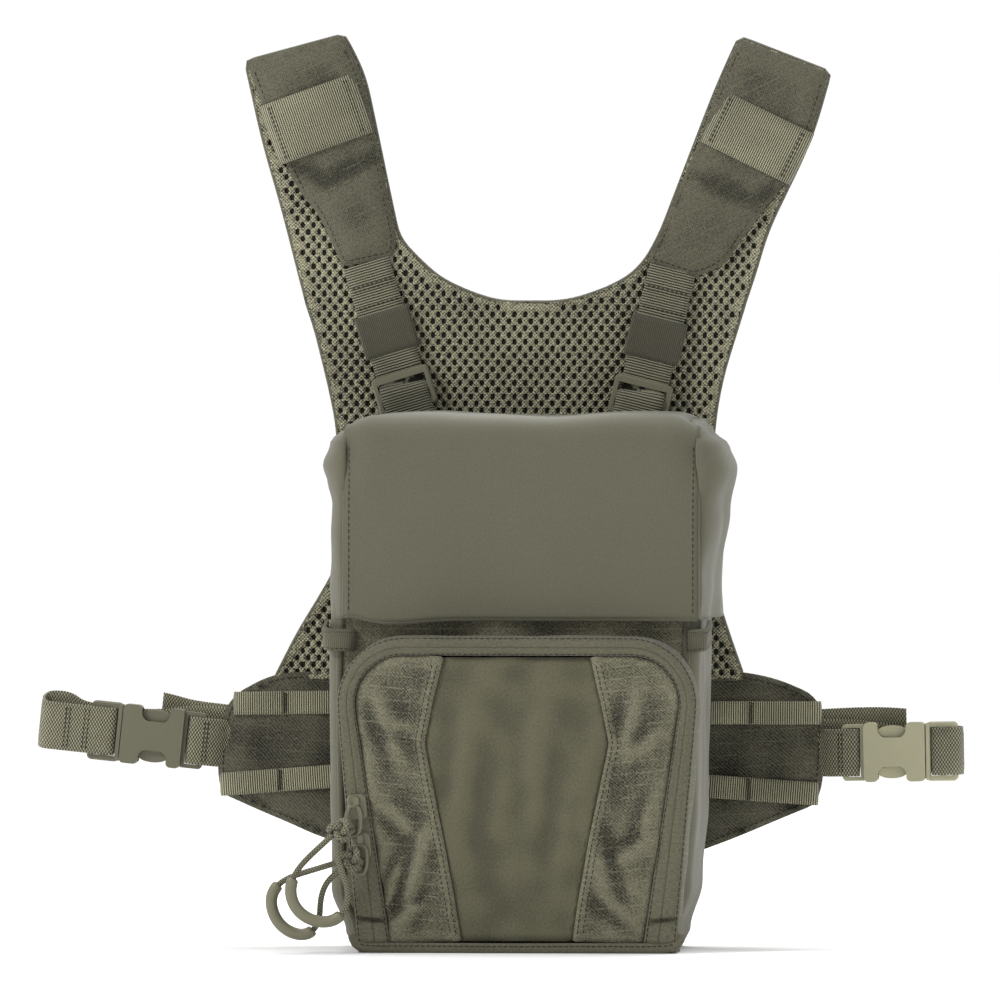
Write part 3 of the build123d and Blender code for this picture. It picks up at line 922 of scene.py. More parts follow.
def side_point(sign, v, z):
    """Point on the side wall: v is 0 at the front seam and 1 at the back seam."""
    lip = 1 - clamp01(v / 0.12) if v < 0.12 else (1 - clamp01((1 - v) / 0.12) if v > 0.88 else 0)
    x = side_x(sign, z) - sign * EDGE_ROUND * lip * lip * 0.9
    middle = math.sin(math.pi * v)
    wander = math.sin(v * 13.0 + 0.6 * math.sin(z / 30.0))
    creases = 1.1 * wander * math.exp(-((z - 100) / 34.0) ** 2) * middle
    sag = (middle - 1) * 1.2 + (rumple(v * 60, z, 0, 26, 1.5, 3.1 * sign) - 0.5) * middle - abs(creases)
    y = lerp(SHELL_FRONT + 0.5, SHELL_BACK - 0.5, v)
    return (x + sign * sag, y, z)


def front_point(u, z):
    x = lerp(front_edge_x(-1, z), front_edge_x(1, z), u)
    bulge = math.sin(math.pi * u) * 1.2 + rumple(x, 0, z, 22, 1.4, 7.0) * math.sin(math.pi * u)
    return (x, SHELL_FRONT + 0.4 - bulge, z)


def back_point(u, z):
    x = lerp(side_x(-1, z) + EDGE_ROUND * 0.9, side_x(1, z) - EDGE_ROUND * 0.9, u)
    return (x, SHELL_BACK - 0.4, z)


def build_pouch():
    low = 1.2
    for side, sign in SIDE_SIGNS:
        def place(u, v, sign=sign):
            return side_point(sign, u, lerp(low, BODY_TOP, v))

        wall = grid_sheet("pouch_side_" + side, 70, 26, place, "softshell", WALL_SHEET, 0.0,
                          lambda u, v, p: (p[1], p[2]))
        mark_painted_crease_shade(wall, 20, 1.2)
        settle(wall, "pouch", "softshell", "side_panel_" + side)
    rise = partial(lerp, low, BODY_TOP)
    front = grid_sheet("pouch_front", 60, 36, lambda u, v: front_point(u, rise(v)), "ripstop", WALL_SHEET,
                       0.0)
    mark_painted_crease_shade(front, 14, 0.6)
    settle(front, "pouch", "ripstop", "front_panel")
    back = grid_sheet("pouch_back", 50, 30, lambda u, v: back_point(u, rise(v)), "lining", WALL_SHEET, 0.0)
    settle(back, "pouch", "softshell", "back_panel")

    def floor_point(u, v):
        y = lerp(SHELL_FRONT + 1, SHELL_BACK - 1, v)
        x = lerp(side_x(-1, 1) + 1.5, side_x(1, 1) - 1.5, u)
        return (x, y, 0.9 + rumple(x, y, 0, 40, 0.25))

    base = grid_sheet("pouch_floor", 24, 30, floor_point, "ripstop", 1.2, 0.0, lambda u, v, p: (p[0], p[1]))
    settle(base, "pouch", "softshell", "bottom_panel")


def build_piping():
    """Piped seams up the pouch's corners, and the binding round its mouth."""
    parts = []
    rows = []
    for sign in (-1, 1):
        for depth, v in ((SHELL_FRONT - 0.2, 0.0), (SHELL_BACK + 0.2, 1.0)):
            line = []
            for i in range(60):
                z = lerp(1.5, BODY_TOP, i / 59)
                x = side_point(sign, v + (0.015 if v == 0 else -0.015), z)[0]
                line.append(Vector((x - sign * 0.4, depth, z)))
            parts.append(tube_data(line, 1.5, 8, up=FORWARD))
            stitch_line = [Vector((p.x + sign * 2.6, p.y + (3.4 if v == 0 else -3.4), p.z)) for p in line]
            rows.append((stitch_line, (sign, 0, 0)))
    mouth = []
    for sign, order in ((-1, range(26)), (1, range(25, -1, -1))):
        for i in order:
            mouth.append(Vector(side_point(sign, 1 - i / 25, BODY_TOP)))
    mouth.append(mouth[0])
    parts.append(tube_data(resampled(mouth, 3), 1.5, 8, flat=1.5, up=UPWARD))
    piping = swept_piece("pouch_piping", parts, "binding")
    settle(piping, "pouch", "zipper_tape")
    sew("pouch_stitching", rows, "pouch", "zipper_tape")


def build_back_padding():
    """Foam back pad, swollen between its sewn edge and two sewn channels."""
    low, high = node_box("back_foam")
    corner = 12.0
    outline = []
    for cx, cz, start in (
        (high[0] - corner, high[2] - corner, 0),
        (low[0] + corner, high[2] - corner, 90),
        (low[0] + corner, low[2] + corner, 180),
        (high[0] - corner, low[2] + corner, 270),
    ):
        for k in range(6):
            angle = math.radians(start + 18 * k)
            outline.append((cx + corner * math.cos(angle), cz + corner * math.sin(angle)))
    channels = (lerp(low[2], high[2], 0.34), lerp(low[2], high[2], 0.67))

    def rear(x, z, d):
        crown = 4.2 * ease(d / 9.0)
        for level in channels:
            crown -= 2.6 * math.exp(-(((z - level) / 3.2) ** 2)) * ease(d / 9.0)
        return low[1] + 0.6 + max(0.5, crown)

    pad = outline_sheet("back_pad", outline, 4.0, lambda x, z, d: low[1] + 0.2, rear, "mesh")
    puff(pad, 1.5, 0.8)
    settle(pad, "pouch", "foam", "back_foam")


TAB_INNER = 71.0
TAB_FOOT = 130.0
TAB_WIDTH = 9.4


def build_keeper_tabs():
    """Stitched folded tabs that hold the lid's lower corners against the body."""
    parts, rows = [], []
    depth = SHELL_FRONT - 4.2
    for sign in (-1, 1):
        inner = sign * TAB_INNER
        outer = side_x(sign, TAB_FOOT) + (2.6 if sign > 0 else -0.8)
        line = [
            (inner - sign * 0.6, SHELL_FRONT + 0.6, TAB_FOOT),
            (inner, depth + 0.6, TAB_FOOT),
            (lerp(inner, outer, 0.25), depth - 0.6, 130.2),
            (lerp(inner, outer, 0.8), depth - 0.2, 130.4),
            (outer, depth + 2.2, 130.8),
            (outer + sign * 0.3, SHELL_FRONT + 3.0, 131.6),
            (outer + sign * 0.2, SHELL_FRONT + 13.0, 134.0),
        ]
        path = resampled(rounded(line, 3), 0.9)

        def outward(i, path=path, sign=sign):
            along = path[min(len(path) - 1, i + 1)] - path[max(0, i - 1)]
            return Vector((along.y, -along.x, 0)).normalized() * sign

        parts.append(ribbon_data(path, TAB_WIDTH, 1.5, outward, 0.3))
        for height in (3.8, 2.4):
            roll = [p + outward(i) * 0.75 + Vector((0, 0, height)) for i, p in enumerate(path)]
            parts.append(tube_data(roll, 0.55, 6, up=UPWARD))
        rows.append(([p + outward(i) * 0.9 + Vector((0, 0, -3.6)) for i, p in enumerate(path)][3:-2],
                     FORWARD))
    tabs = swept_piece("lid_keeper_tabs", parts, "tab_cloth")
    settle(tabs, "pouch", "elastic", "keeper_tabs")
    sew("keeper_tab_stitching", rows, "pouch", "elastic", 2.0, 1.3)


# ---- lid
STITCH_INSET = 0.012
LID_HALF = 74.0
LID_BEND = 12.0
LID_BACK = 37.0
BELLOWS_FOOT, BELLOWS_TOP = 139.0, 222.0


def lid_profile(s):
    """Depth and height along the lid, from its front foot (0) over the crest to the back (1)."""
    foot, crest = LID_FOOT + 1.4, LID_CREST + 0.6
    bend = LID_BEND
    rise = crest - bend - foot
    arc = bend * math.pi / 2
    run = LID_BACK - (LID_FACE + bend)
    length = s * (rise + arc + run)
    if length < rise:
        return LID_FACE, foot + length
    if length < rise + arc:
        angle = (length - rise) / bend
        return LID_FACE + bend * (1 - math.cos(angle)), crest - bend * (1 - math.sin(angle))
    return LID_FACE + bend + (length - rise - arc), crest


def lid_point(u, s):
    y, z = lid_profile(s)
    x = lerp(-LID_HALF, LID_HALF, u)
    side = abs(2 * u - 1)
    facing = clamp01(1 - s / 0.52)
    top = clamp01((s - 0.45) / 0.15)
    bow = (1 - side ** 2.4) * (1.5 * math.sin(math.pi * clamp01(s / 0.5)) if s < 0.5 else 0)
    soft = rumple(x, s * 90, 0, 34, 1.3, 1.7) * (1 - side ** 4)
    y -= bow * facing + soft * facing
    shoulder = ease((side - 0.80) / 0.20)
    z -= top * (5.5 * shoulder ** 2)
    y += ease((s - 0.25) / 0.25) * 5.0 * shoulder ** 2 * (1 - top)
    z += top * (0.9 * math.sin(u * 9.0) * (1 - side ** 3) + rumple(x, y, 0, 26, 0.9, 4.0))
    if s < 0.12:
        lift = 1 - s / 0.12
        z += lift * (1.6 * math.exp(-(((u - 0.02) / 0.05) ** 2)) - 1.6 * math.exp(-(((u - 0.14) / 0.1) ** 2)))
        y -= lift * (2.2 * math.exp(-(((u - 0.12) / 0.14) ** 2)) + 0.5)
    return (x, y, z)


GUSSET_SHAPE = {
    -1: [(139, -80.8), (158, -81.4), (187, -81.6), (196, -83.4), (203, -85.4), (212, -82.0), (222.5, -71.0)],
    1: [(139, 76.2), (154, 77.6), (184, 83.0), (202, 87.2), (211, 84.0), (217, 77.0), (222.5, 70.0)],
}


def gusset_point(sign, v, t):
    """Bellows side of the lid: v runs from the front seam to the back, t from its foot to its top."""
    z = lerp(BELLOWS_FOOT, BELLOWS_TOP, t)
    full = table_value(GUSSET_SHAPE[sign], z)
    front_x = sign * (LID_HALF - 5.0 * ease((z - 210) / 12.0) ** 2)
    front_y = LID_FACE + 0.8 + 10.5 * ease((z - 208) / 15.0) ** 1.6
    back_x = sign * 78.0 if z < 205 else sign * lerp(78.0, 72.0, ease((z - 205) / 17))
    swell = math.sin(math.pi * clamp01(v) ** 0.62)
    x = lerp(front_x, back_x, v) + (full - lerp(front_x, back_x, 0.33)) * swell
    x += sign * 1.4 * math.sin(v * 9.5 + t * 3.0) * math.sin(math.pi * v) * (1 - 0.5 * t)
    y = lerp(front_y, 33.5, v)
    return (x + rumple(y, z, 0, 20, 1.1, sign * 5.0), y, z)


def build_lid():
    lid = grid_sheet("lid_cover", 96, 72, lid_point, "softshell", 1.8, 1.0, lambda u, v, p: (p[0], v * 170.0))
    settle(lid, "lid", "softshell", "lid_front", "lid_top")
    for side, sign in SIDE_SIGNS:
        gusset = grid_sheet("lid_bellows_" + side, 44, 34, lambda u, v, sign=sign: gusset_point(sign, u, v),
                            "softshell", 1.5, 0.0, lambda u, v, p: (p[1], p[2]))
        mark_painted_crease_shade(gusset, 14, 0.8)
        settle(gusset, "lid", "softshell", "lid_gusset_" + side)
    rows = []
    for sign in (0, 1):
        u = STITCH_INSET if sign == 0 else 1 - STITCH_INSET
        line = [Vector(lid_point(u, s / 80)) + Vector((0, -1.9, 0)) for s in range(1, 38)]
        rows.append((line, (0, -1, 0.05)))
    sew("lid_stitching", rows, "lid", "softshell", 2.7, 1.9, 0.45)
    edge = [Vector(lid_point(k / 70, 0.0)) + Vector((0, -0.9, -0.2)) for k in range(71)]
    settle(swept_piece("lid_hem", [tube_data(edge, 0.85, 8, up=UPWARD)], "softshell"), "lid", "softshell")
    seams = []
    for u in (0.0, 1.0):
        line = [Vector(lid_point(u, s / 90)) + Vector((0, -0.4, 0)) for s in range(0, 91)]
        seams.append(tube_data(line, 1.0, 8, up=(0.3, -1, 0.2)))
    settle(swept_piece("lid_side_seams", seams, "softshell"), "lid", "softshell")


# ---- front pocket
BAND_OUTER = {"top_half": 75.2, "foot_half": 67.0, "top": POCKET_TOP, "round": 28.0}
BAND_SEAM = {"top_half": 67.6, "foot_half": 53.0, "top": 124.3, "round": 20.0}
SPLIT_AT = 0.55
SPLIT_GAP = 0.004


def pocket_line(t, step=2.0, foot=POCKET_FOOT, offset=0.0):
    """U-shaped line round the pocket: t is 0 on the outer edge and 1 on the inner seam."""
    half_top = lerp(BAND_OUTER["top_half"], BAND_SEAM["top_half"], t) + offset
    half_foot = lerp(BAND_OUTER["foot_half"], BAND_SEAM["foot_half"], t) + offset
    top = lerp(BAND_OUTER["top"], BAND_SEAM["top"], t) + offset
    radius = lerp(BAND_OUTER["round"], BAND_SEAM["round"], t) + offset
    slope = (half_top - half_foot) / (100 - POCKET_FOOT)
    shoulder = half_top + slope * (top - 100)
    foot_x = half_foot + slope * (foot - POCKET_FOOT)
    lean = math.atan2(shoulder - foot_x, top - foot)
    reach = radius * math.tan((math.pi / 2 + lean) / 2)
    corner = []
    centre = (shoulder - reach, top - radius)
    for k in range(13):
        angle = lerp(-lean, math.pi / 2, k / 12)
        corner.append((centre[0] + radius * math.cos(angle), centre[1] + radius * math.sin(angle)))
    right = [(foot_x, foot)] + corner
    left = [(-x, z) for x, z in reversed(right)]
    return [Vector((x, 0, z)) for x, z in resampled_pairs(right + left, step)]


def resampled_pairs(pairs, step):
    return [(p.x, p.y) for p in resampled([Vector((x, z)) for x, z in pairs], step)]


def fold(x, z, start, end, width, depth):
    """Crease of the cloth from start to end: a soft ridge with a valley on one side."""
    ax, az = start
    bx, bz = end
    dx, dz = bx - ax, bz - az
    span = math.hypot(dx, dz)
    t = ((x - ax) * dx + (z - az) * dz) / (span * span)
    across = ((x - ax) * dz - (z - az) * dx) / span
    reach = ease(1 - abs(2 * clamp01(t) - 1)) if 0 < t < 1 else 0.0
    ridge = math.exp(-((across / width) ** 2))
    valley = 0.8 * math.exp(-(((across - width * 1.5) / width) ** 2))
    return depth * reach * (ridge - valley)


POCKET_FOLDS = (
    ((-35.0, 62.0), (-50.0, 4.0), 3.2, 4.4),
    ((-42.0, 52.0), (-58.0, 12.0), 2.6, 2.6),
    ((-60.0, 66.0), (-38.0, 44.0), 3.0, 2.2),
    ((-62.0, 118.0), (-46.0, 70.0), 3.6, 2.2),
    ((-64.0, 100.0), (-40.0, 92.0), 3.2, 1.6),
    ((-34.0, 24.0), (-56.0, 8.0), 2.6, 2.0),
    ((33.0, 66.0), (47.0, 10.0), 3.4, -3.4),
    ((66.0, 52.0), (34.0, 34.0), 3.0, 2.6),
    ((30.0, 30.0), (54.0, 8.0), 2.8, 2.4),
    ((52.0, 118.0), (42.0, 66.0), 3.8, 2.2),
    ((64.0, 96.0), (44.0, 78.0), 3.2, 1.8),
    ((60.0, 74.0), (48.0, 30.0), 3.0, 1.8),
    ((-20.0, 118.0), (-24.0, 30.0), 5.0, 1.2),
    ((-8.0, 112.0), (-4.0, 20.0), 6.0, 0.9),
    ((12.0, 120.0), (8.0, 44.0), 5.5, 1.0),
    ((24.0, 96.0), (16.0, 8.0), 4.6, 1.2),
)


def pocket_depth(x, z):
    """Depth of the pocket's face: it stands forward in the middle and creases at the sides."""
    across = clamp01(1 - abs(x) / 66.0)
    down = clamp01((z - 2) / 122.0)
    crown = 4.2 * ease(across * 1.5) * math.sin(math.pi * down ** 0.85) ** 0.8
    creases = sum(fold(x, z, *spec) for spec in POCKET_FOLDS)
    return POCKET_FACE + 0.6 - crown - creases - rumple(x, 0, z, 13, 1.3, 2.2)


CENTRE_EDGE = [(123.8, 31.0), (106.0, 35.4), (87.5, 39.0), (71.5, 35.8), (44.0, 30.2), (24.0, 26.6),
               (4.4, 23.6)]


def centre_half(z):
    pairs = sorted(CENTRE_EDGE)
    if z <= pairs[0][0]:
        return pairs[0][1]
    for (z0, h0), (z1, h1) in zip(pairs, pairs[1:]):
        if z <= z1:
            return lerp(h0, h1, (z - z0) / (z1 - z0))
    return pairs[-1][1]


def build_pocket_face():
    """Stretch centre panel between two ripstop side panels."""
    stretch_z = [lerp(5.0, 123.6, k / 40) for k in range(41)]
    outline = [(-centre_half(z), z) for z in stretch_z] + [(centre_half(z), z) for z in reversed(stretch_z)]

    def front(x, z, d):
        soft = 1.5 * math.sin(x / 4.6 + 0.9 * math.sin(z / 26.0)) * ease((z - 2) / 30) * ease(d / 8)
        pinch = 0.7 * math.sin(z / 6.4) * math.exp(-((d / 5.0) ** 2)) * ease(d / 1.5)
        return pocket_depth(x, z) + 0.5 - soft * 0.45 - pinch * 0.4

    centre = outline_sheet("pocket_centre", outline, 2.4, front, lambda x, z, d: pocket_depth(x, z) + 2.0,
                           "stretch")
    mark_painted_crease_shade(centre, 14, 0.5)
    settle(centre, "pocket_panel", "stretch_fabric", "pocket_centre_panel")

    seam = [(p.x, p.z) for p in pocket_line(1.0, 2.0, offset=-0.2)]
    rows = []
    for side, sign in SIDE_SIGNS:
        rim = [p for p in (seam if sign > 0 else list(reversed(seam))) if p[0] * sign > 31.2]
        inner = [(sign * (centre_half(z) - 0.4), z) for z in reversed(stretch_z)]
        panel_outline = rim + inner

        def face(x, z, d, sign=sign):
            edge = abs(x) - centre_half(z)
            roll = 1.3 * math.exp(-(((edge - 1.6) / 2.2) ** 2))
            return pocket_depth(x, z) - roll - 0.35 * ease(d / 2.0)

        panel = outline_sheet("pocket_side_" + side, panel_outline, 2.0, face,
                              lambda x, z, d: pocket_depth(x, z) + 1.6, "ripstop", turn=0.1 * sign)
        mark_painted_crease_shade(panel, 14, 0.6)
        settle(panel, "pocket_panel", "ripstop", "pocket_side_panel_" + side)
        for inset in (1.3, 3.6):
            line = []
            for z in stretch_z[1:-1]:
                x = sign * (centre_half(z) + inset)
                line.append(Vector((x, face(x, z, 9.0) - 0.1, z)))
            rows.append((line, FORWARD))
    pitch = bpy.context.scene.harness_pack.stitch_pitch / MM
    sew("pocket_stitching", rows, "pocket_panel", "ripstop", pitch, pitch * 0.7, 0.4)


def band_depth(t):
    """Depth of the zipper band across its width: two rolled tapes with a slit between them."""
    slit = math.exp(-(((t - SPLIT_AT) / 0.05) ** 2))
    return POCKET_FACE - 1.5 * math.sin(math.pi * clamp01(t)) ** 0.5 + 0.15 * slit


def band_sheet(name, start, end, body, node):
    """One tape of the zipper band, between two of the pocket's lines."""
    columns = 8
    lines = [pocket_line(lerp(start, end, k / columns), 2.0) for k in range(columns + 1)]
    count = min(len(line) for line in lines)
    resized = [[line[round(i * (len(line) - 1) / (count - 1))] for i in range(count)] for line in lines]
    verts, uvs, faces = [], [], []
    for i in range(count):
        for k in range(columns + 1):
            point = resized[k][i]
            t = lerp(start, end, k / columns)
            ripple = rumple(point.x, 0, point.z, 12, 0.35, 9.0)
            verts.append((point.x, band_depth(t) - ripple, point.z))
            uvs.append((t * 8.0, i * 2.0))
    width = columns + 1
    for i in range(count - 1):
        for k in range(columns):
            a = i * width + k
            faces.append((a, a + 1, a + width + 1, a + width))
    obj = new_piece(name, verts, faces, "tape", uvs)
    recalc_to_front(obj)
    thicken(obj, 1.0, -1.0)
    settle(obj, body, "zipper_tape", node)


def recalc_to_front(obj):
    """Turn an open sheet's faces towards the front."""
    total = sum((p.normal.y * p.area for p in obj.data.polygons))
    if total > 0:
        obj.data.flip_normals()


def build_zipper():
    band_sheet("zipper_band_outer", 0.0, SPLIT_AT - SPLIT_GAP, "pouch", "zipper_tape_outer")
    band_sheet("zipper_band_inner", SPLIT_AT + SPLIT_GAP, 1.0, "pocket_panel", "zipper_tape_inner")
    line = pocket_line(SPLIT_AT, 1.1)
    parts = []
    for here, tangent, side, _ in frames_along(line, FORWARD):
        loop = []
        for k in range(9):
            angle = math.pi * k / 8
            loop.append(
                Vector((here.x, POCKET_FACE + 0.9, here.z)) + side * (math.cos(angle) * 1.5)
                + Vector(FORWARD) * (math.sin(angle) * 0.7) + tangent * (0.15 * math.cos(angle))
            )
        parts.append(tube_data(loop, 0.3, 5, up=tangent))
    coil = swept_piece("zipper_coil", parts, "coil", False)
    settle(coil, "pouch", "zipper_tape")
    rows = []
    for t, body in ((0.07, "pouch"), (0.93, "pocket_panel")):
        row = [Vector((p.x, band_depth(t) - 0.15, p.z)) for p in pocket_line(t, 2.0)]
        name = "zipper_stitching_outer" if t < 0.5 else "zipper_stitching_inner"
        sew(name, [(row, FORWARD)], body, "zipper_tape", 2.4, 1.7, 0.4)
    tacks = []
    for sign in (-1, 1):
        a = pocket_line(0.1, 2.0, foot=14.5)
        b = pocket_line(0.95, 2.0, foot=14.5)
        outer = a[0] if sign > 0 else a[-1]
        inner = b[0] if sign > 0 else b[-1]
        start = Vector((outer.x, POCKET_FACE - 1.9, outer.z))
        end = Vector((inner.x, POCKET_FACE - 1.9, inner.z - 1.0))
        tacks.append(tube_data(bar_tack(start, end, FORWARD, 11, 1.8), 0.3, 5))
    settle(swept_piece("zipper_bar_tacks", tacks, "thread", False), "pouch", "zipper_tape")


def build_pocket_wall():
    """Ripstop wall between the pouch and the zipper band, and the bound foot."""
    line = pocket_line(0.03, 3.0, foot=1.0)

    def place(u, v):
        index = min(len(line) - 1, round(v * (len(line) - 1)))
        point = line[index]
        swell = 1.3 * math.sin(math.pi * u)
        out = Vector((point.x, 0, point.z - 60)).normalized()
        spot = point + out * (swell - 0.6 + rumple(point.x, u * 20, point.z, 16, 0.8,
                6.0) * math.sin(math.pi * u))
        return (spot.x, lerp(POCKET_FACE + 0.3, SHELL_FRONT - 0.6, u), spot.z)

    wall = grid_sheet("pocket_wall", len(line) - 1, 10, place, "ripstop", 1.2, -1.0,
                      lambda u, v, p: (u * 22, v * 380))
    settle(wall, "pouch", "ripstop", "pocket_gusset")

    def foot(u, v):
        half = BAND_OUTER["foot_half"] - 0.5
        x = lerp(-half, half, u)
        return (x, lerp(POCKET_FACE + 0.5, SHELL_FRONT, v), 0.8)

    base = grid_sheet("pocket_floor", 8, 30, foot, "ripstop", 1.2, 0.0, lambda u, v, p: (p[0], p[1]))
    settle(base, "pouch", "ripstop", "pocket_gusset_bottom")
    half = BAND_OUTER["foot_half"] - 3.0
    y = POCKET_FACE - 0.4
    binding_line = [
        (-half - 5.0, y + 3.0, 7.0), (-half - 3.6, y + 0.6, 3.6), (-half, y, 2.1), (-half / 2, y - 0.4, 2.2),
        (0, y - 0.5, 2.0), (half / 2, y - 0.4, 2.3), (half, y, 2.1), (half + 3.4, y + 0.6, 4.0),
        (half + 4.6, y + 3.0, 7.4),
    ]
    path = resampled(rounded(binding_line, 3), 2.0)
    binding = swept_piece("pocket_foot_binding", [ribbon_data(path, 4.2, 1.4, FORWARD, 0.7)], "tape")
    settle(binding, "pouch", "zipper_tape", "bottom_binding")
    row = [p + Vector((0, -1.5, 0.8)) for p in path[3:-3]]
    sew("foot_stitching", [(row, FORWARD)], "pouch", "zipper_tape", 2.3, 1.6)


# ---- harness: mesh, pads and wings
HOLE_HALF = (0.98, 1.26)
YOKE_FOOT = 124.0
YOKE_TUCK = 6.0
YOKE_SEAM = 270.15


def mesh_sag(x, z):
    """Gentle waves of the hanging mesh."""
    return 0.9 * math.sin(x / 31.0) * math.cos(z / 44.0) + rumple(x, 0, z, 30, 0.9, 8.0)


def mesh_lattice(outline, depth, shrink=1.0):
    """Staggered oval holes in a knitted face, as rings of faces trimmed to the outline."""
    verts, faces, uvs = [], [], []
    xs, zs = [p[0] for p in outline], [p[1] for p in outline]
    settings = bpy.context.scene.harness_pack
    hole_pitch, row_pitch = settings.mesh_hole_pitch / MM, settings.mesh_row_pitch / MM
    half_w, half_h = hole_pitch / 2, row_pitch / 2
    rim = [(half_w, 0), (half_w, half_h), (half_w / 2, half_h), (0, half_h), (-half_w / 2, half_h),
           (-half_w, half_h), (-half_w, 0), (-half_w, -half_h), (-half_w / 2, -half_h), (0, -half_h),
           (half_w / 2, -half_h), (half_w, -half_h)]
    index = {}
    row = 0
    z = min(zs) - half_h
    while z < max(zs) + half_h:
        x = min(xs) + (half_w if row % 2 else 0)
        while x < max(xs) + half_w:
            within = inside(x, z, outline)
            gap = nearest_on(x, z, outline)[0]
            if within or gap < half_w:
                ring = []
                for dx, dz in rim:
                    spot = (x + dx, z + dz)
                    key = (round(spot[0] * 20), round(spot[1] * 20))
                    if key not in index:
                        if gap < hole_pitch and not inside(*spot, outline):
                            spot = nearest_on(*spot, outline)[1]
                        index[key] = len(verts)
                        verts.append((spot[0], depth + mesh_sag(*spot), spot[1]))
                        uvs.append(spot)
                    ring.append(index[key])
                open_hole = within and gap > half_w * 0.9
                hole = []
                wobble = 1 + 0.2 * noise.noise(Vector((x, z, 0.0)))
                grow = shrink if open_hole else 0.5
                for dx, dz in rim:
                    angle = math.atan2(dz / half_h, dx / half_w)
                    hx = x + HOLE_HALF[0] * grow * wobble * math.cos(angle)
                    hz = z + HOLE_HALF[1] * grow * math.sin(angle)
                    if not open_hole and not inside(hx, hz, outline):
                        hx, hz = nearest_on(hx, hz, outline)[1]
                    hole.append(len(verts))
                    drop = 0.55 if open_hole else 0.0
                    verts.append((hx, depth + drop + mesh_sag(hx, hz), hz))
                    uvs.append((hx, hz))
                count = len(rim)
                for k in range(count):
                    nxt = (k + 1) % count
                    faces.append((ring[k], ring[nxt], hole[nxt], hole[k]))
                if not open_hole:
                    faces.append(tuple(hole))
            x += hole_pitch
        z += row_pitch
        row += 1
    return verts, faces, uvs


def yoke_border(loops):
    """Outer edge of the whole mesh, as one closed line: arms and back joined."""
    edges = []
    for loop in loops:
        for a, b in zip(loop, loop[1:] + loop[:1]):
            level = abs(a[1] - YOKE_SEAM) < 0.4 and abs(b[1] - YOKE_SEAM) < 0.4
            if not level:
                edges.append((a, b))
    line = list(edges.pop(0))
    while edges:
        tail = line[-1]
        best = min(((math.dist(tail, edge[k]), i, k) for i, edge in enumerate(edges) for k in (0, 1)),
                   key=lambda r: r[0])
        edge = edges.pop(best[1])
        start, end = (edge[0], edge[1]) if best[2] == 0 else (edge[1], edge[0])
        if best[0] > 0.01:
            line.append(start)
        line.append(end)
    return line


def build_mesh_yoke():
    border = [(x, z - YOKE_TUCK if z < YOKE_FOOT else z) for x, z in yoke_border(node_outlines("mesh_yoke"))]
    outline = eased_corners(border, 2.0)
    trimmed = [(p.x, p.y) for p in resampled([Vector(p) for p in outline], 3.0, closed=True)]
    front = mesh_lattice(trimmed, MESH_LOW[1] - 0.2)
    back_verts, back_faces, back_uvs = mesh_lattice(trimmed, 0.0, 0.86)
    back = ([(x, MESH_HIGH[1] + 0.3 + (2 * mesh_sag(x, z) - y), z) for x, y, z in back_verts],
            [tuple(reversed(face)) for face in back_faces], back_uvs)
    face_mesh = swept_piece("yoke_mesh", [front, back], "mesh", False)
    thicken(face_mesh, 0.5, -1.0)
    settle(face_mesh, "harness", "air_mesh", "mesh_yoke")
    # Painted shade: a near-black sheet between the two knitted faces stands in for the shade seen through the
    # mesh holes.
    core = outline_sheet("yoke_painted_shade_sheet", trimmed, 6.0, lambda x, z, d: MESH_LOW[1] + 1.1 + mesh_sag(x, z),
                         lambda x, z, d: MESH_LOW[1] + 1.9 + mesh_sag(x, z), "mesh_core")
    settle(core, "harness", "air_mesh")
    middle = (MESH_LOW[1] + MESH_HIGH[1]) / 2
    path = [Vector((x, middle + mesh_sag(x, z), z)) for x, z in trimmed]
    edge = swept_piece("yoke_edge", [tube_data(path, 1.35, 8, closed=True, flat=1.15, up=FORWARD)], "binding")
    settle(edge, "harness", "air_mesh")


def inset_rows(outline, inset, keep):
    """Lines that run at one distance inside an outline, cut where keep(x, z) is false."""
    pts = resampled([Vector((x, 0, z)) for x, z in outline], 1.6, closed=True)
    loop = [(p.x, p.z) for p in pts]
    rows, row = [], []
    count = len(pts)
    for i in range(count + 1):
        here = pts[i % count]
        along = (pts[(i + 2) % count] - pts[(i - 2) % count]).normalized()
        inward = Vector((-along.z, 0, along.x))
        spot = here + inward * inset
        if not inside(spot.x, spot.z, loop):
            spot = here - inward * inset
        if keep(spot.x, spot.z) and inside(spot.x, spot.z, loop):
            row.append(spot)
        elif row:
            rows.append(row)
            row = []
    if row:
        rows.append(row)
    return [r for r in rows if len(r) > 4]


def soft_outline(node, corner=2.0):
    return eased_corners(node_outlines(node)[0], corner)


PAD_CREASE = {-1: 322, 1: 314}


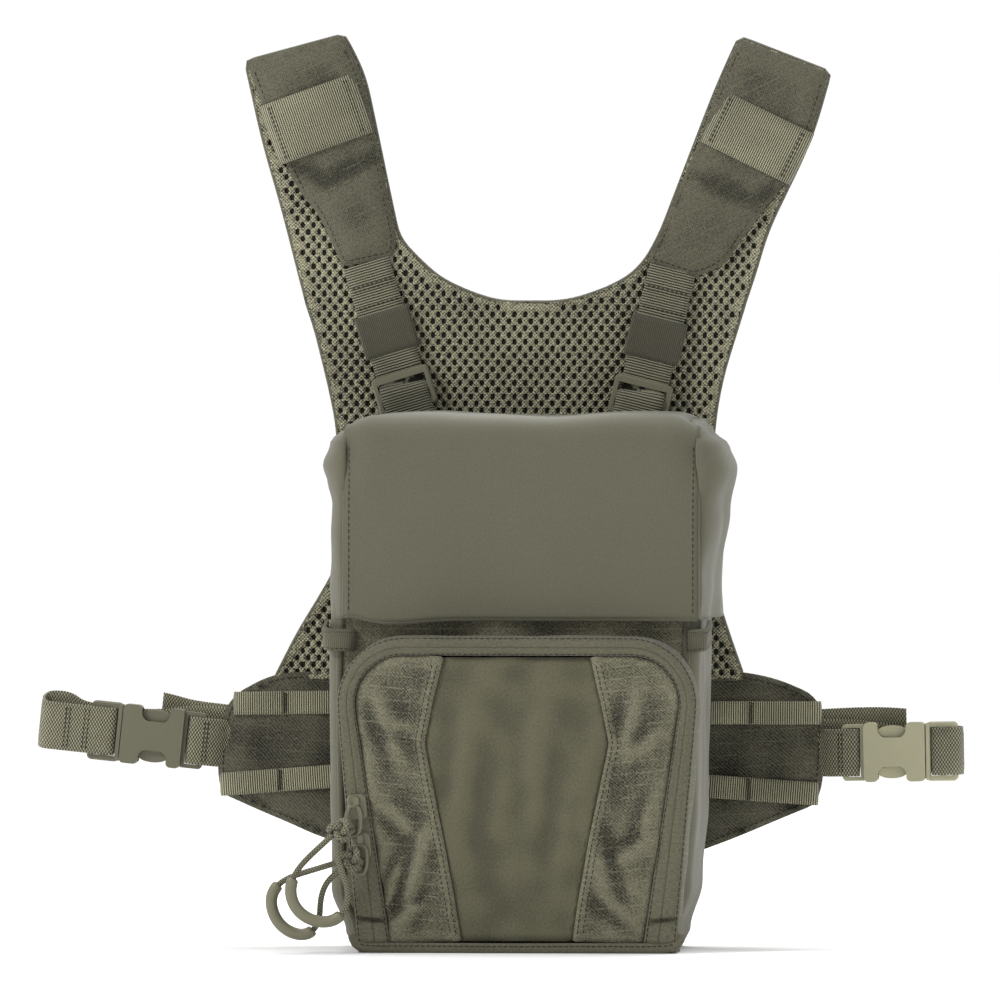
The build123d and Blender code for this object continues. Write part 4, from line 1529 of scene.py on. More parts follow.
def build_shoulder_pads():
    rows = []
    for side, sign in SIDE_SIGNS:
        outline = soft_outline("shoulder_pad_" + side, 1.2)
        top = sorted(node_outlines("shoulder_pad_" + side)[0], key=lambda p: -p[1])[:2]
        crest_x, crest_z = top[1]
        slope = (top[0][1] - crest_z) / (top[0][0] - crest_x)

        def face(x, z, d, sign=sign):
            crown = 0.5 + 2.6 * ease(d / 7.0)
            below = z - PAD_CREASE[sign]
            crease = 2.4 * math.exp(-((below - 0.45 * abs(abs(x) - 90)) / 5.0) ** 2) * ease(d / 5)
            puckers = 0.5 * math.sin(z / 3.4) * math.exp(-((d - 3) / 3.0) ** 2)
            return PAD_LOW[1] + 2.4 - crown + crease - puckers * 0.5 - rumple(x, 0, z, 15, 0.9, 2 * sign)

        pad = outline_sheet("shoulder_pad_" + side + "_cover", outline, 2.6, face,
                            lambda x, z, d: PAD_HIGH[1] - 0.5, "pad_cloth", turn=0.45)
        puff(pad, 1.2, 0.7)
        mark_painted_crease_shade(pad, 12, 0.6)
        settle(pad, "harness", "ripstop", "shoulder_pad_" + side)
        for line in inset_rows(outline, 2.0, lambda x, z: z < crest_z + slope * (x - crest_x) - 5.0):
            rows.append(([Vector((p.x, face(p.x, p.z, 2.0) - 0.4, p.z)) for p in line], FORWARD))
    sew("pad_stitching", rows, "harness", "ripstop", 2.6, 1.8, 0.42)


def strip_ends(loop):
    """Middles of a four-cornered strip's left and right ends."""
    ordered = sorted(loop)
    return [[sum(p[k] for p in pair) / 2 for k in (0, 1)] for pair in (ordered[:2], ordered[2:])]


def build_cross_bands():
    parts, rows = [], []
    for loop in node_outlines("cross_bands"):
        left, right = strip_ends(loop)
        width = math.dist(*sorted(loop)[:2])
        y = PAD_LOW[1] - 1.5
        direction = Vector((right[0] - left[0], 0, right[1] - left[1])).normalized()
        outer_reach, inner_reach = 1.0, -2.4
        on_left = left[0] < 0
        a = Vector((left[0], y + 2.4, left[1])) - direction * (outer_reach if on_left else inner_reach)
        b = Vector((right[0], y + 2.4, right[1])) + direction * (inner_reach if on_left else outer_reach)
        line = [a + Vector((0, 1.6, 0)), a, a.lerp(b, 0.12) + Vector((0, -2.6, 0)),
                a.lerp(b, 0.5) + Vector((0, -3.2, 0)),
                a.lerp(b, 0.88) + Vector((0, -2.6, 0)), b, b + Vector((0, 1.6, 0))]
        path = resampled(rounded(line, 3), 1.2)
        parts.append(ribbon_data(path, width, 1.3, FORWARD, 0.2))
        up = Vector(FORWARD)
        across = direction.cross(up).normalized()
        for spot in (0.1, 0.13, 0.87, 0.9):
            centre = path[round(spot * (len(path) - 1))]
            rows.append(([centre + across * w + up * 0.9 for w in (-width / 2 + 1.5, 0, width / 2 - 1.5)],
                         up))
    bands = swept_piece("pad_cross_bands", parts, "band")
    settle(bands, "harness", "webbing", "cross_bands")
    sew("cross_band_stitching", rows, "harness", "webbing", 2.0, 1.5, 0.4)


def wing_face(x, z, d, sign):
    """Front of a padded wing: full in the middle, creased towards the pouch."""
    crown = 0.6 + 4.2 * ease(d / 12.0)
    inner = ease((100 - abs(x)) / 26.0)
    creases = 1.2 * math.sin(z / 6.5 + x / 14.0) * ease(d / 6)
    creases += 1.1 * math.sin(x / 3.6) * math.exp(-((d / 7.0) ** 2)) * ease(d / 1.5)
    return WING_LOW[1] + 3.4 - crown * (1 - 0.45 * inner) - creases * 0.5 - rumple(x, 0, z, 16, 1.1, 4 * sign)


def build_wings():
    rows = []
    for side, sign in SIDE_SIGNS:
        outline = soft_outline("wing_" + side, 3.0)
        wing = outline_sheet("wing_pad_" + side, outline, 2.8,
                             lambda x, z, d, sign=sign: wing_face(x, z, d, sign),
                             lambda x, z, d: WING_HIGH[1] - 1.8 + 1.4 * ease(d / 8.0), "wing_cloth",
                             turn=0.06 * sign)
        puff(wing, 1.6, 1.0)
        mark_painted_crease_shade(wing, 12, 0.6)
        settle(wing, "harness", "ripstop", "wing_" + side)
        for line in inset_rows(outline, 2.2, lambda x, z: abs(x) > 64):
            rows.append(([Vector((p.x, wing_face(p.x, p.z, 2.2, sign) - 0.4, p.z)) for p in line], FORWARD))
    sew("wing_stitching", rows, "harness", "ripstop", 2.6, 1.8, 0.42)


TACK_HALF = 4.4
TACK_AT = {-1: 0.46, 1: 0.62}


def build_wing_bands():
    for side, sign in SIDE_SIGNS:
        parts, tacks = [], []
        outline = soft_outline("wing_" + side, 3.0)
        for loop in node_outlines("wing_bands_" + side):
            left, right = strip_ends(loop)
            y = WING_LOW[1] - 1.9
            a, b = Vector((left[0], y, left[1])), Vector((right[0], y, right[1]))
            outer, inner = (a, b) if sign < 0 else (b, a)
            along = (inner - outer).normalized()
            while not all(inside(outer.x, outer.z + dz, outline) for dz in (-TACK_HALF, 0, TACK_HALF)):
                outer = outer + along * 0.3
            outer = outer - along * 0.6
            tack_at = TACK_AT[sign]
            line = [outer + Vector((sign * 0.8, 3.2, 0)), outer + Vector((0, 0.8, 0)),
                    outer.lerp(inner, 0.25) + Vector((0, -0.8, 0)),
                    outer.lerp(inner, tack_at) + Vector((0, 0.3, 0)),
                    outer.lerp(inner, tack_at + 0.22) + Vector((0, -0.7, 0)), inner]
            path = resampled(rounded(line, 3), 1.2)
            parts.append(ribbon_data(path, 9.8, 1.2, FORWARD, 0.15))
            at = path[round(tack_at * (len(path) - 1))]
            shift = Vector((0, -1.0, 0))
            ends = [at + shift + Vector((0, 0, w)) for w in (-TACK_HALF, TACK_HALF)]
            tacks.append(tube_data(bar_tack(*ends, FORWARD, 10, 2.0), 0.28, THREAD_SIDES))
        bands = swept_piece("wing_loops_" + side, parts, "band")
        settle(bands, "harness", "webbing", "wing_bands_" + side)
        settle(swept_piece("wing_tacks_" + side, tacks, "thread", False), "harness", "webbing")


# ---- shoulder straps
def strap_line(side):
    """Upper and lower ends of a shoulder strap's centre line, in millimetres."""
    loop = sorted(node_outlines("strap_upper_" + side)[0], key=lambda p: p[1])
    low = Vector(((loop[0][0] + loop[1][0]) / 2, 0, (loop[0][1] + loop[1][1]) / 2))
    high = Vector(((loop[2][0] + loop[3][0]) / 2, 0, (loop[2][1] + loop[3][1]) / 2))
    return high, low


def strap_point(side, distance, depth):
    high, low = strap_line(side)
    direction = (low - high).normalized()
    spot = high + direction * distance
    return Vector((spot.x, depth, spot.z))


def build_shoulder_straps():
    web = "strap"
    rows = []
    for side in ("left", "right"):
        upper = [strap_point(side, d, y) for d, y in ((-6, 46.2), (0, 45.4), (12, 45.0), (26, 45.6), (40,
                45.2), (47, 45.4), (56, 46.2))]
        main = ribbon("shoulder_webbing_" + side, upper, STRAP_WIDTH, STRAP_SHEET, FORWARD, web, 1.5, 0.15, 3)
        settle(main, "harness", "webbing", "strap_upper_" + side)
        fold_line = [strap_point(side, d, y) for d,
                     y in ((15, 44.3), (24, 44.2), (34, 43.4), (40.5, 42.8), (43.0, 43.5), (41.4, 44.5),
                           (37, 44.4))]
        tail = ribbon("shoulder_tail_" + side, fold_line, TAIL_WIDTH, 1.2, lambda i: (0, -1, 0.001), web, 1.0,
                      0.15, 3)
        settle(tail, "harness", "webbing")
        across = (strap_line(side)[1] - strap_line(side)[0]).normalized().cross(Vector(FORWARD))
        for d, y in ((3.0, 44.2), (4.6, 44.1), (12.0, 44.0)):
            centre = strap_point(side, d, y)
            rows.append(([centre + across * w for w in (-9, -3, 3, 9)], FORWARD))
    sew("strap_stitching", rows, "harness", "webbing", 1.9, 1.4, 0.42)
    parts = []
    for side in ("left", "right"):
        line = [strap_point(side, d, y) for d, y in
                ((79, 39.0), (66, 39.0), (56, 39.0), (51.5, 38.9), (48.6, 39.6), (47.4, 42.0), (49.0, 44.1),
                 (54, 44.4), (66, 44.2))]
        path = resampled(rounded(line, 3), 1.0)
        parts.append(ribbon_data(path, 19.8, 1.3, (0, -1, 0.2), 0.1))
    lower = swept_piece("lower_webbing", parts, web)
    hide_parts("lower_straps")
    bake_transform(lower)


def loop_band(centre, direction, half, y_front, y_back, width, sheet):
    """Elastic loop round a strap: path data of a ribbon that closes on itself."""
    side = direction.cross(Vector(FORWARD)).normalized()
    corner = 0.9
    path = []
    for cx, cy, start in (
        (half - corner, y_front + corner, 0), (-half + corner, y_front + corner, 90),
        (-half + corner, y_back - corner, 180), (half - corner, y_back - corner, 270),
    ):
        for k in range(6):
            angle = math.radians(start + 90 * k / 5)
            drop = Vector((0, cy - corner * math.sin(angle), 0))
            path.append(centre + side * (cx + corner * math.cos(angle)) + drop)
    path = resampled(path + [path[0]], 0.8)
    middle = Vector((centre.x, (y_front + y_back) / 2, centre.z))

    def outward(i):
        away = path[min(i, len(path) - 1)] - middle
        away -= direction * away.dot(direction)
        flat = side * (away.dot(side) / half) ** 5 + Vector((0, away.y / (y_back - y_front) * 2, 0))
        return flat.normalized() if flat.length > 1e-6 else Vector(FORWARD)

    return ribbon_data(path, width, sheet, outward, 0.0, 8)


# half width, front, back, height and sheet of the elastic loop
KEEPER_LOOP = (11.4, 42.9, 47.3, 18.2, 0.9)


def build_elastic_keepers():
    for side in ("left", "right"):
        low, high = node_box("elastic_keeper_" + side)
        high_end, low_end = strap_line(side)
        direction = (low_end - high_end).normalized()
        centre = Vector(((low[0] + high[0]) / 2, 0, (low[2] + high[2]) / 2))
        band = swept_piece("elastic_loop_" + side, [loop_band(centre, direction, *KEEPER_LOOP)], "elastic")
        settle(band, "keeper_" + side, "elastic", "elastic_keeper_" + side)


# ---- side straps
SIDES = {
    "left": {"sign": -1, "root": (-134.4, 84.4), "tilt": math.radians(6), "start": 7.7, "fold": 78.0},
    "right": {"sign": 1, "root": (121.0, 81.0), "tilt": math.radians(1), "start": 7.4, "fold": 58.4},
}
LADDER, FEMALE, MOUTH_GAP = 9.0, 26.0, 0.4
TAILS = {
    "left": [(-34, 8.2, 5.5), (-4, 8.2, 6.5), (14, 8.2, 6.6), (22, 8.0, 8.0), (27.6, 7.2, 8.8)],
    "right": [(-14, 8.2, 8.0), (10, 8.2, 9.0), (24, 8.3, 9.0), (34, 7.6, 8.2)],
}
RISES = {"left": (5.0, 0.5, 4.6), "right": (4.0, 1.0, 0.6)}
BUCKLE_DEPTH = 47.0


def side_place(side, u, v, w):
    """World point from a side's own frame: u outward, v depth, w up."""
    spec = SIDES[side]
    c, s = math.cos(spec["tilt"]), math.sin(spec["tilt"])
    return Vector((spec["root"][0] + spec["sign"] * (u * c - w * s), BUCKLE_DEPTH + v,
                   spec["root"][1] + u * s + w * c))


def profile_ribbon(name, side, route, width, sheet, finish, step=1.2):
    """Strap that follows a route of (u, v, w) points and may turn right round."""
    route3 = rounded([Vector(p) for p in route], 3)
    path = resampled(route3, step)
    verts, uvs = [], []
    run = 0.0
    columns = 6
    half = width / 2
    for i, here in enumerate(path):
        before, after = path[max(0, i - 1)], path[min(len(path) - 1, i + 1)]
        tangent = Vector((after.x - before.x, after.y - before.y, 0)).normalized()
        normal = Vector((-tangent.y, tangent.x, 0))
        if i:
            run += (here - path[i - 1]).length
        for face in (1, -1):
            for j in range(columns + 1):
                across = lerp(-1, 1, j / columns) * face
                rim = 0.7 if abs(across) > 0.99 else 1.0
                spot = here + normal * (face * sheet / 2 * rim) + Vector((0, 0, across * half))
                verts.append(side_place(side, spot.x, spot.y, spot.z))
                uvs.append((across * half, run))
    return swept_piece(name, [(verts, skin(2 * (columns + 1), len(path)), uvs)], finish)


def build_side_straps():
    web = "webbing"
    for side, spec in SIDES.items():
        start, fold_end = spec["start"], spec["fold"]
        base = start + LADDER + FEMALE + MOUTH_GAP
        route = [(-15, 1.5, 0.4), (-5, 1.5, 0.3), (-1.5, 1.2, 0.1), (1.0, -0.8, 0), (start - 3.0, -2.4, 0),
                 (start, -2.7, 0),
                 (start + 5.2, -2.7, 0), (start + 6.6, -1.6, 0), (start + 6.7, 0.8, 0), (start + 5.0, 3.0, 0),
                 (start - 2, 3.2, 0)]
        obj = profile_ribbon("wing_strap_" + side, side, route, STRAP_WIDTH, STRAP_SHEET, web)
        settle(obj, "harness", "webbing", "wing_webbing_" + side)
        near, middle, far = RISES[side]
        route = [(-50, 6.7, near), (-10, 6.6, near), (14, 6.7, near), (30, 6.8, middle),
                 (fold_end - 18, 7.0, middle),
                 (fold_end - 12, 6.9, far), (fold_end - 3.2, 6.2, far), (fold_end - 0.8, 4.6, far * 0.6),
                 (fold_end - 0.4, 0.6, far * 0.25), (fold_end - 2.2, -2.6, 0), (fold_end - 6.0, -3.4, 0)]
        if fold_end - base > 26:
            route += [(base + 16, -3.7, 0), (base + 10, -3.5, 0)]
        route += [(base + 5.5, -3.4, 0), (base + 3.4, -3.1, 0), (base + 2.6, -1.6, 0), (base + 2.9, 1.8, 0),
                  (base + 5.0, 3.6, 0), (base + 9.0, 3.7, 0)]
        strap = profile_ribbon("return_strap_" + side, side, route, STRAP_WIDTH, STRAP_SHEET, web)
        settle(strap, "male_" + side, "webbing", "side_strap_" + side)
        tail = profile_ribbon("strap_tail_" + side, side, TAILS[side], TAIL_WIDTH, 1.3, web)
        settle(tail, "male_" + side, "webbing")
        if side == "left":
            rows = [([side_place(side, base + u, -4.4, w) for w in (-8.6, 0, 8.6)], FORWARD) for u in (14.0,
                    15.6, 22.0, 23.6)]
            sew("return_stitching_" + side, rows, "male_" + side, "webbing", 2.0, 1.5, 0.45)
        rows = [([side_place(side, start + u, -3.5, w) for w in (-8.6, 0, 8.6)], FORWARD) for u in (-1.4,
                0.0)]
        sew("wing_strap_stitching_" + side, rows, "harness", "webbing", 2.0, 1.5, 0.45)


# ---- buckles, adjusters and inner parts
def dress_hardware():
    """Finishes for the moulded and metal parts that come from the frame unchanged."""
    for side in ("left", "right"):
        for node in ("buckle_female_", "buckle_male_", "prong_upper_", "prong_lower_"):
            dress(node + side, "plastic" if side == "left" else "plastic_pale")
        dress("adjuster_" + side, "plastic")
    for which in ("upper", "lower"):
        dress("slider_" + which, "metal")
    dress("lid_stiffener", "board")
    dress("magnets_body", "magnet")
    dress("magnets_lid", "magnet")


# ---- zipper pulls
CORD_RADIUS = 1.25
GRIP_RADIUS = 2.5
PULLS = {
    "lower": {
        "knot": (-69.0, -72.6, 39.6),
        "hook": (-65.2, -67.0, 36.6),
        "route": [
            (-73.0, -73.0, 38.4), (-80.0, -72.5, 36.3), (-87.5, -71.5, 34.0), (-94.0, -71.0, 32.0),
            (-99.5, -71.0, 28.8), (-102.4, -71.0, 23.6), (-101.8, -71.0, 17.4), (-98.6, -71.0, 11.8),
            (-93.4, -71.0, 8.3), (-87.6, -71.0, 7.6), (-83.4, -71.0, 10.6), (-81.8, -71.0, 15.6),
            (-81.6, -71.2, 21.6), (-80.2, -71.8, 27.4), (-76.6, -72.4, 32.4), (-71.8, -72.6, 35.6),
        ],
    },
    "upper": {
        "knot": (-73.0, -76.0, 51.6),
        "hook": (-68.6, -67.2, 52.0),
        "route": [
            (-76.0, -76.6, 49.6), (-80.2, -77.6, 45.6), (-85.0, -78.3, 41.2), (-89.4, -78.6, 36.6),
            (-92.6, -78.6, 31.4), (-93.6, -78.6, 25.6), (-91.8, -78.6, 19.8), (-87.4, -78.6, 15.4),
            (-81.4, -78.6, 13.2), (-75.2, -78.6, 13.8), (-70.8, -78.6, 17.6), (-69.2, -78.6, 23.0),
            (-69.8, -78.8, 28.8), (-71.8, -79.2, 34.6), (-73.8, -79.2, 40.4), (-74.2, -78.0, 46.6),
        ],
    },
}
GRIP_SPAN = (0.25, 0.66)


def smooth_route(points):
    """Points of the smooth spline that a cord follows, in millimetres."""
    curve = bpy.data.curves.new("route", "CURVE")
    curve.dimensions = "3D"
    curve.resolution_u = 10
    spline = curve.splines.new("NURBS")
    spline.points.add(len(points) - 1)
    for point, place in zip(spline.points, points):
        point.co = (*place, 1.0)
    spline.order_u = 3
    spline.use_endpoint_u = True
    holder = bpy.data.objects.new("route", curve)
    bpy.context.scene.collection.objects.link(holder)
    depsgraph = bpy.context.evaluated_depsgraph_get()
    mesh = bpy.data.meshes.new_from_object(holder.evaluated_get(depsgraph))
    line = [v.co.copy() for v in mesh.vertices]
    bpy.data.meshes.remove(mesh)
    bpy.data.objects.remove(holder)
    bpy.data.curves.remove(curve)
    return line


def path_length(points):
    return sum((b - a).length for a, b in zip(points, points[1:]))


def knot_path(centre, size, tilt):
    """Closed trefoil line of a tied overhand knot."""
    line = []
    for k in range(73):
        t = 2 * math.pi * k / 72
        x = math.sin(t) + 2 * math.sin(2 * t)
        z = math.cos(t) - 2 * math.cos(2 * t)
        y = -math.sin(3 * t) * 1.15
        c, s = math.cos(tilt), math.sin(tilt)
        line.append(Vector(centre) + Vector((x * c - z * s, y, x * s + z * c)) * size)
    return line


def puller_data(which):
    """Six-sided wire loop of a zipper puller, with a flat lug at its top."""
    low, high = node_box("puller_" + which)
    middle = [(a + b) / 2 for a, b in zip(low, high)]
    half, tall = 2.9, (high[2] - low[2]) / 2
    corners = [(0.55, 1.0), (1.0, 0.55), (1.0, -0.5), (0.5, -1.0), (-0.5, -1.0), (-1.0, -0.5), (-1.0, 0.55),
               (-0.55, 1.0)]
    loop = [(middle[0] + half * x, middle[2] + tall * z) for x, z in corners]
    eased = eased_corners(loop, 0.9, 3)
    path = [Vector((x, middle[1] - 0.4, z)) for x, z in eased]
    return tube_data(path, 0.95, 8, closed=True, flat=0.8, up=FORWARD)


def build_zip_pulls():
    for which, spec in PULLS.items():
        body = "pull_" + which
        puller = swept_piece("pull_loop_" + which, [puller_data(which)], "metal")
        settle(puller, body, "painted_zinc", "puller_" + which)
        line = smooth_route(spec["route"])
        cord = swept_piece("pull_cord_" + which, [tube_data(line, CORD_RADIUS, 12, up=FORWARD_CORD)], "cord")
        settle(cord, body, "pull_cord", "cord_" + which)
        count = len(line)
        part = line[int(GRIP_SPAN[0] * count):int(GRIP_SPAN[1] * count)]

        def girth(t):
            end = min(t, 1 - t) / 0.035
            return GRIP_RADIUS * (1.0 if end > 1 else math.sqrt(max(0.0, 1 - 0.35 * (1 - end) ** 2)))

        grip = swept_piece("pull_grip_" + which, [tube_data(part, girth, 20, up=FORWARD_CORD)], "grip")
        settle(grip, body, "pull_grip", "grip_" + which)
        knot = Vector(spec["knot"])
        hook = Vector(spec["hook"])
        tied = tube_data(knot_path(knot, 1.42, 0.5), CORD_RADIUS * 1.1, 10, closed=False, up=(0, -1, 0.1))
        away = (hook - knot).normalized()
        side = away.cross(Vector(FORWARD)).normalized()
        bight = rounded([
            knot + side * 1.4, knot + away * 4 + side * 2.0, hook + side * 1.2 + away * 0.6,
            hook + away * 1.8 + Vector((0, 1.0, 0)),
            hook - side * 1.2 + Vector((0, 1.6, 0)), knot + away * 3 - side * 1.8, knot - side * 1.2], 3)
        loop = tube_data(resampled(bight, 0.8), CORD_RADIUS * 0.9, 10, up=(0, -1, 0.1))
        tied_knot = swept_piece("pull_knot_" + which, [tied, loop], "cord", False)
        settle(tied_knot, body, "pull_cord", "knot_" + which)
        tuple(v * MM for v in line[0])
        path_length(line) * MM


# ---- stage
CAMERA_AZIMUTH = math.radians(5.0)
CAMERA_RISE = math.radians(1.0)
CAMERA_LENS = 900.0
CAMERA_REACH = 10.5
AIM = (-0.0125, 0.0, 0.1882)
FLOOR_REACH = 40.0
KEY_PLACE = (-1.5, -1.15, 1.5)
FILL_PLACE = (1.7, -1.3, 0.8)
CREST_PLACE = (0.1, 1.15, 1.35)
SURROUND_GLOW = 1.02


def build_stage():
    scene = bpy.context.scene
    scene.view_settings.view_transform = "Standard"
    camera_data = bpy.data.cameras.new("camera")
    camera_data.lens = CAMERA_LENS
    camera_data.clip_end = 120.0
    camera = bpy.data.objects.new("camera", camera_data)
    scene.collection.objects.link(camera)
    aim = Vector(AIM)
    forward = Vector((-math.sin(CAMERA_AZIMUTH), math.cos(CAMERA_AZIMUTH), 0))
    view = forward * math.cos(CAMERA_RISE) - Vector((0, 0, math.sin(CAMERA_RISE)))
    camera.location = aim - view * CAMERA_REACH
    camera.rotation_euler = view.to_track_quat("-Z", "Y").to_euler()
    scene.camera = camera

    reach = FLOOR_REACH / MM
    corners = [(-reach, -reach, 0), (reach, -reach, 0), (reach, reach, 0), (-reach, reach, 0)]
    floor = new_piece("studio_floor", corners, [(0, 1, 2, 3)], "floor", [(0, 0)] * 4)

    def softbox(name, place, size, power):
        data = bpy.data.lights.new(name, "AREA")
        data.shape = "SQUARE"
        data.size = size
        data.energy = power
        lamp = bpy.data.objects.new(name, data)
        lamp.location = place
        lamp.rotation_euler = (Vector((0, 0, 0.18)) - Vector(place)).to_track_quat("-Z", "Y").to_euler()
        scene.collection.objects.link(lamp)

    settings = scene.harness_pack
    softbox("key_light", KEY_PLACE, 0.7, settings.key_power)
    softbox("fill_light", FILL_PLACE, 1.2, settings.key_power * 0.22)
    softbox("crest_light", CREST_PLACE, 0.7, settings.key_power * 0.5)
    overhead = bpy.data.lights.new("overhead_light", "SUN")
    overhead.energy = settings.overhead_power
    overhead.angle = math.radians(50)
    lamp = bpy.data.objects.new("overhead_light", overhead)
    lamp.rotation_euler = Vector((-0.1, -0.42, -1.0)).to_track_quat("-Z", "Y").to_euler()
    scene.collection.objects.link(lamp)
    world = bpy.data.worlds.new("studio")
    world.use_nodes = True
    tree = world.node_tree
    direction = tree.nodes.new("ShaderNodeTexCoord")
    _, _, rise = split_vector(tree, direction.outputs["Generated"])
    glow = tree.nodes.new("ShaderNodeMapRange")
    glow.inputs["From Min"].default_value = 0.08
    glow.inputs["From Max"].default_value = 0.22
    glow.inputs["To Min"].default_value = SURROUND_GLOW
    glow.inputs["To Max"].default_value = settings.ambient
    tree.links.new(rise, glow.inputs["Value"])
    tree.links.new(glow.outputs["Result"], tree.nodes["Background"].inputs["Strength"])
    tree.nodes["Background"].inputs["Color"].default_value = (1, 1, 1, 1)
    scene.world = world


# ---- add-on
def tone_property(name, description, default):
    return FloatVectorProperty(name=name, description=description, default=default, size=3, subtype="COLOR",
                               min=0, max=1)


class HARNESSPACK_PG_settings(PropertyGroup):
    """Colours and light that a user would change."""

    softshell_tone: tone_property("Softshell", "Colour of the smooth softshell", (0.098, 0.094, 0.062))
    ripstop_tone: tone_property("Ripstop", "Colour of the ripstop cloth", (0.092, 0.087, 0.057))
    stretch_tone: tone_property("Stretch panel", "Colour of the stretch centre panel", (0.080, 0.075, 0.043))
    webbing_tone: tone_property("Webbing", "Colour of the webbing", (0.190, 0.182, 0.118))
    mesh_tone: tone_property("Mesh", "Colour of the spacer mesh", (0.255, 0.243, 0.162))
    plastic_tone: tone_property("Plastic", "Colour of the moulded buckles", (0.124, 0.119, 0.078))
    ripstop_square: FloatProperty(name="Ripstop square", description="Spacing of the thicker ripstop threads",
                                  default=0.005, min=0.002, unit="LENGTH")
    mesh_hole_pitch: FloatProperty(name="Mesh hole pitch", description="Sideways spacing of the mesh holes",
                                   default=0.0046, min=0.003, unit="LENGTH")
    mesh_row_pitch: FloatProperty(name="Mesh row pitch", description="Upright spacing of the mesh rows",
                                  default=0.0029, min=0.002, unit="LENGTH")
    stitch_pitch: FloatProperty(name="Stitch pitch", description="Length of one lockstitch on the ripstop",
                                default=0.0023, min=0.001, unit="LENGTH")
    key_power: FloatProperty(name="Key light", description="Power of the main softbox", default=32.0, min=0,
                             unit="POWER")
    overhead_power: FloatProperty(name="Overhead light", description="Strength of the broad overhead light",
                                  default=2.45, min=0)
    ambient: FloatProperty(name="Ambient", description="Strength of the white surround", default=0.4, min=0)


class HARNESSPACK_OT_stage(Operator):
    """Place the camera, the pale floor and the soft lights."""

    bl_idname = "harnesspack.stage"
    bl_label = "Studio stage"

    def execute(self, context):
        build_stage()
        return {"FINISHED"}


class HARNESSPACK_OT_zip_pulls(Operator):
    """Tie the two cord pulls with their moulded grips."""

    bl_idname = "harnesspack.zip_pulls"
    bl_label = "Zipper pulls"

    def execute(self, context):
        build_zip_pulls()
        return {"FINISHED"}


class HARNESSPACK_OT_pouch(Operator):
    """Sew the pouch's walls and floor."""

    bl_idname = "harnesspack.pouch"
    bl_label = "Pouch body"

    def execute(self, context):
        build_pouch()
        return {"FINISHED"}


class HARNESSPACK_OT_piping(Operator):
    """Pipe the pouch's corner seams and bind its mouth."""

    bl_idname = "harnesspack.piping"
    bl_label = "Pouch piping"

    def execute(self, context):
        build_piping()
        return {"FINISHED"}


class HARNESSPACK_OT_back_pad(Operator):
    """Swell the foam pad on the pouch's back."""

    bl_idname = "harnesspack.back_pad"
    bl_label = "Back pad"

    def execute(self, context):
        build_back_padding()
        return {"FINISHED"}


class HARNESSPACK_OT_keeper_tabs(Operator):
    """Sew the elastic tabs at the lid's lower corners."""

    bl_idname = "harnesspack.keeper_tabs"
    bl_label = "Lid keeper tabs"

    def execute(self, context):
        build_keeper_tabs()
        return {"FINISHED"}


class HARNESSPACK_OT_lid(Operator):
    """Shape the lid's cover and its bellows sides."""

    bl_idname = "harnesspack.lid"
    bl_label = "Lid"

    def execute(self, context):
        build_lid()
        return {"FINISHED"}


class HARNESSPACK_OT_pocket_wall(Operator):
    """Sew the pocket's wall, floor and foot binding."""

    bl_idname = "harnesspack.pocket_wall"
    bl_label = "Pocket wall"

    def execute(self, context):
        build_pocket_wall()
        return {"FINISHED"}


class HARNESSPACK_OT_pocket_face(Operator):
    """Sew the pocket's stretch centre and ripstop sides."""

    bl_idname = "harnesspack.pocket_face"
    bl_label = "Pocket face"

    def execute(self, context):
        build_pocket_face()
        return {"FINISHED"}


class HARNESSPACK_OT_zipper(Operator):
    """Lay the zipper band's tapes, coil and bar tacks."""

    bl_idname = "harnesspack.zipper"
    bl_label = "Zipper"

    def execute(self, context):
        build_zipper()
        return {"FINISHED"}


class HARNESSPACK_OT_mesh_yoke(Operator):
    """Knit the spacer mesh of the harness and bind its edge."""

    bl_idname = "harnesspack.mesh_yoke"
    bl_label = "Mesh yoke"

    def execute(self, context):
        build_mesh_yoke()
        return {"FINISHED"}


class HARNESSPACK_OT_shoulder_pads(Operator):
    """Pad and stitch the shoulder straps."""

    bl_idname = "harnesspack.shoulder_pads"
    bl_label = "Shoulder pads"

    def execute(self, context):
        build_shoulder_pads()
        return {"FINISHED"}


class HARNESSPACK_OT_cross_bands(Operator):
    """Sew the webbing bands across the shoulder pads."""

    bl_idname = "harnesspack.cross_bands"
    bl_label = "Cross bands"

    def execute(self, context):
        build_cross_bands()
        return {"FINISHED"}


class HARNESSPACK_OT_wings(Operator):
    """Pad and stitch the side wings."""

    bl_idname = "harnesspack.wings"
    bl_label = "Wings"

    def execute(self, context):
        build_wings()
        return {"FINISHED"}


class HARNESSPACK_OT_wing_bands(Operator):
    """Tack the narrow webbing bands on the wings."""

    bl_idname = "harnesspack.wing_bands"
    bl_label = "Wing bands"

    def execute(self, context):
        build_wing_bands()
        return {"FINISHED"}


class HARNESSPACK_OT_shoulder_straps(Operator):
    """Thread the adjustable webbing of the shoulders."""

    bl_idname = "harnesspack.shoulder_straps"
    bl_label = "Shoulder webbing"

    def execute(self, context):
        build_shoulder_straps()
        return {"FINISHED"}


class HARNESSPACK_OT_elastic_keepers(Operator):
    """Fit the elastic loops that hold the strap tails."""

    bl_idname = "harnesspack.elastic_keepers"
    bl_label = "Elastic keepers"

    def execute(self, context):
        build_elastic_keepers()
        return {"FINISHED"}


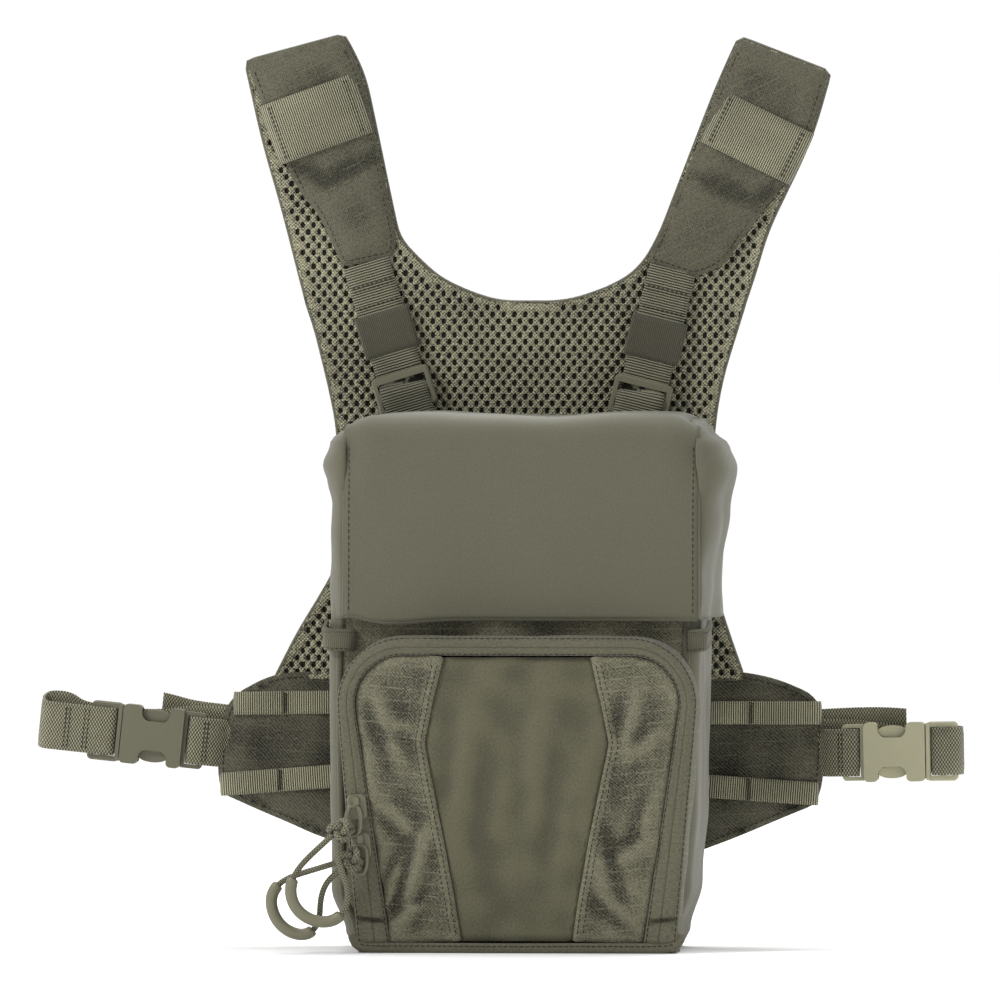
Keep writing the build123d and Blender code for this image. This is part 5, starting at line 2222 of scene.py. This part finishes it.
class HARNESSPACK_OT_side_straps(Operator):
    """Thread the webbing of the side-release buckles."""

    bl_idname = "harnesspack.side_straps"
    bl_label = "Side straps"

    def execute(self, context):
        build_side_straps()
        return {"FINISHED"}


class HARNESSPACK_OT_hardware(Operator):
    """Finish the buckles, adjusters, sliders and inner parts."""

    bl_idname = "harnesspack.hardware"
    bl_label = "Hardware"

    def execute(self, context):
        dress_hardware()
        return {"FINISHED"}


OPERATORS = (
    HARNESSPACK_OT_stage,
    HARNESSPACK_OT_zip_pulls,
    HARNESSPACK_OT_pouch,
    HARNESSPACK_OT_piping,
    HARNESSPACK_OT_back_pad,
    HARNESSPACK_OT_keeper_tabs,
    HARNESSPACK_OT_lid,
    HARNESSPACK_OT_pocket_wall,
    HARNESSPACK_OT_pocket_face,
    HARNESSPACK_OT_zipper,
    HARNESSPACK_OT_mesh_yoke,
    HARNESSPACK_OT_shoulder_pads,
    HARNESSPACK_OT_cross_bands,
    HARNESSPACK_OT_wings,
    HARNESSPACK_OT_wing_bands,
    HARNESSPACK_OT_shoulder_straps,
    HARNESSPACK_OT_elastic_keepers,
    HARNESSPACK_OT_side_straps,
    HARNESSPACK_OT_hardware,
)


class HARNESSPACK_PT_panel(Panel):
    """Sidebar panel that lists the build steps."""

    bl_idname = "HARNESSPACK_PT_panel"
    bl_label = "Harness Pack"
    bl_space_type = "VIEW_3D"
    bl_region_type = "UI"
    bl_category = "Harness Pack"

    def draw(self, context):
        settings = context.scene.harness_pack
        for name in settings.bl_rna.properties.keys():
            if name not in ("rna_type", "name"):
                self.layout.prop(settings, name)
        for operator in OPERATORS:
            self.layout.operator(operator.bl_idname)


CLASSES = (HARNESSPACK_PG_settings, *OPERATORS, HARNESSPACK_PT_panel)


def register():
    for cls in CLASSES:
        bpy.utils.register_class(cls)
    bpy.types.Scene.harness_pack = PointerProperty(type=HARNESSPACK_PG_settings)


def unregister():
    del bpy.types.Scene.harness_pack
    for cls in reversed(CLASSES):
        bpy.utils.unregister_class(cls)


def main():
    register()
    for operator in OPERATORS:
        getattr(bpy.ops.harnesspack, operator.bl_idname.split(".")[1])()
    bpy.context.view_layer.update()


if __name__ == "__main__":
    main()
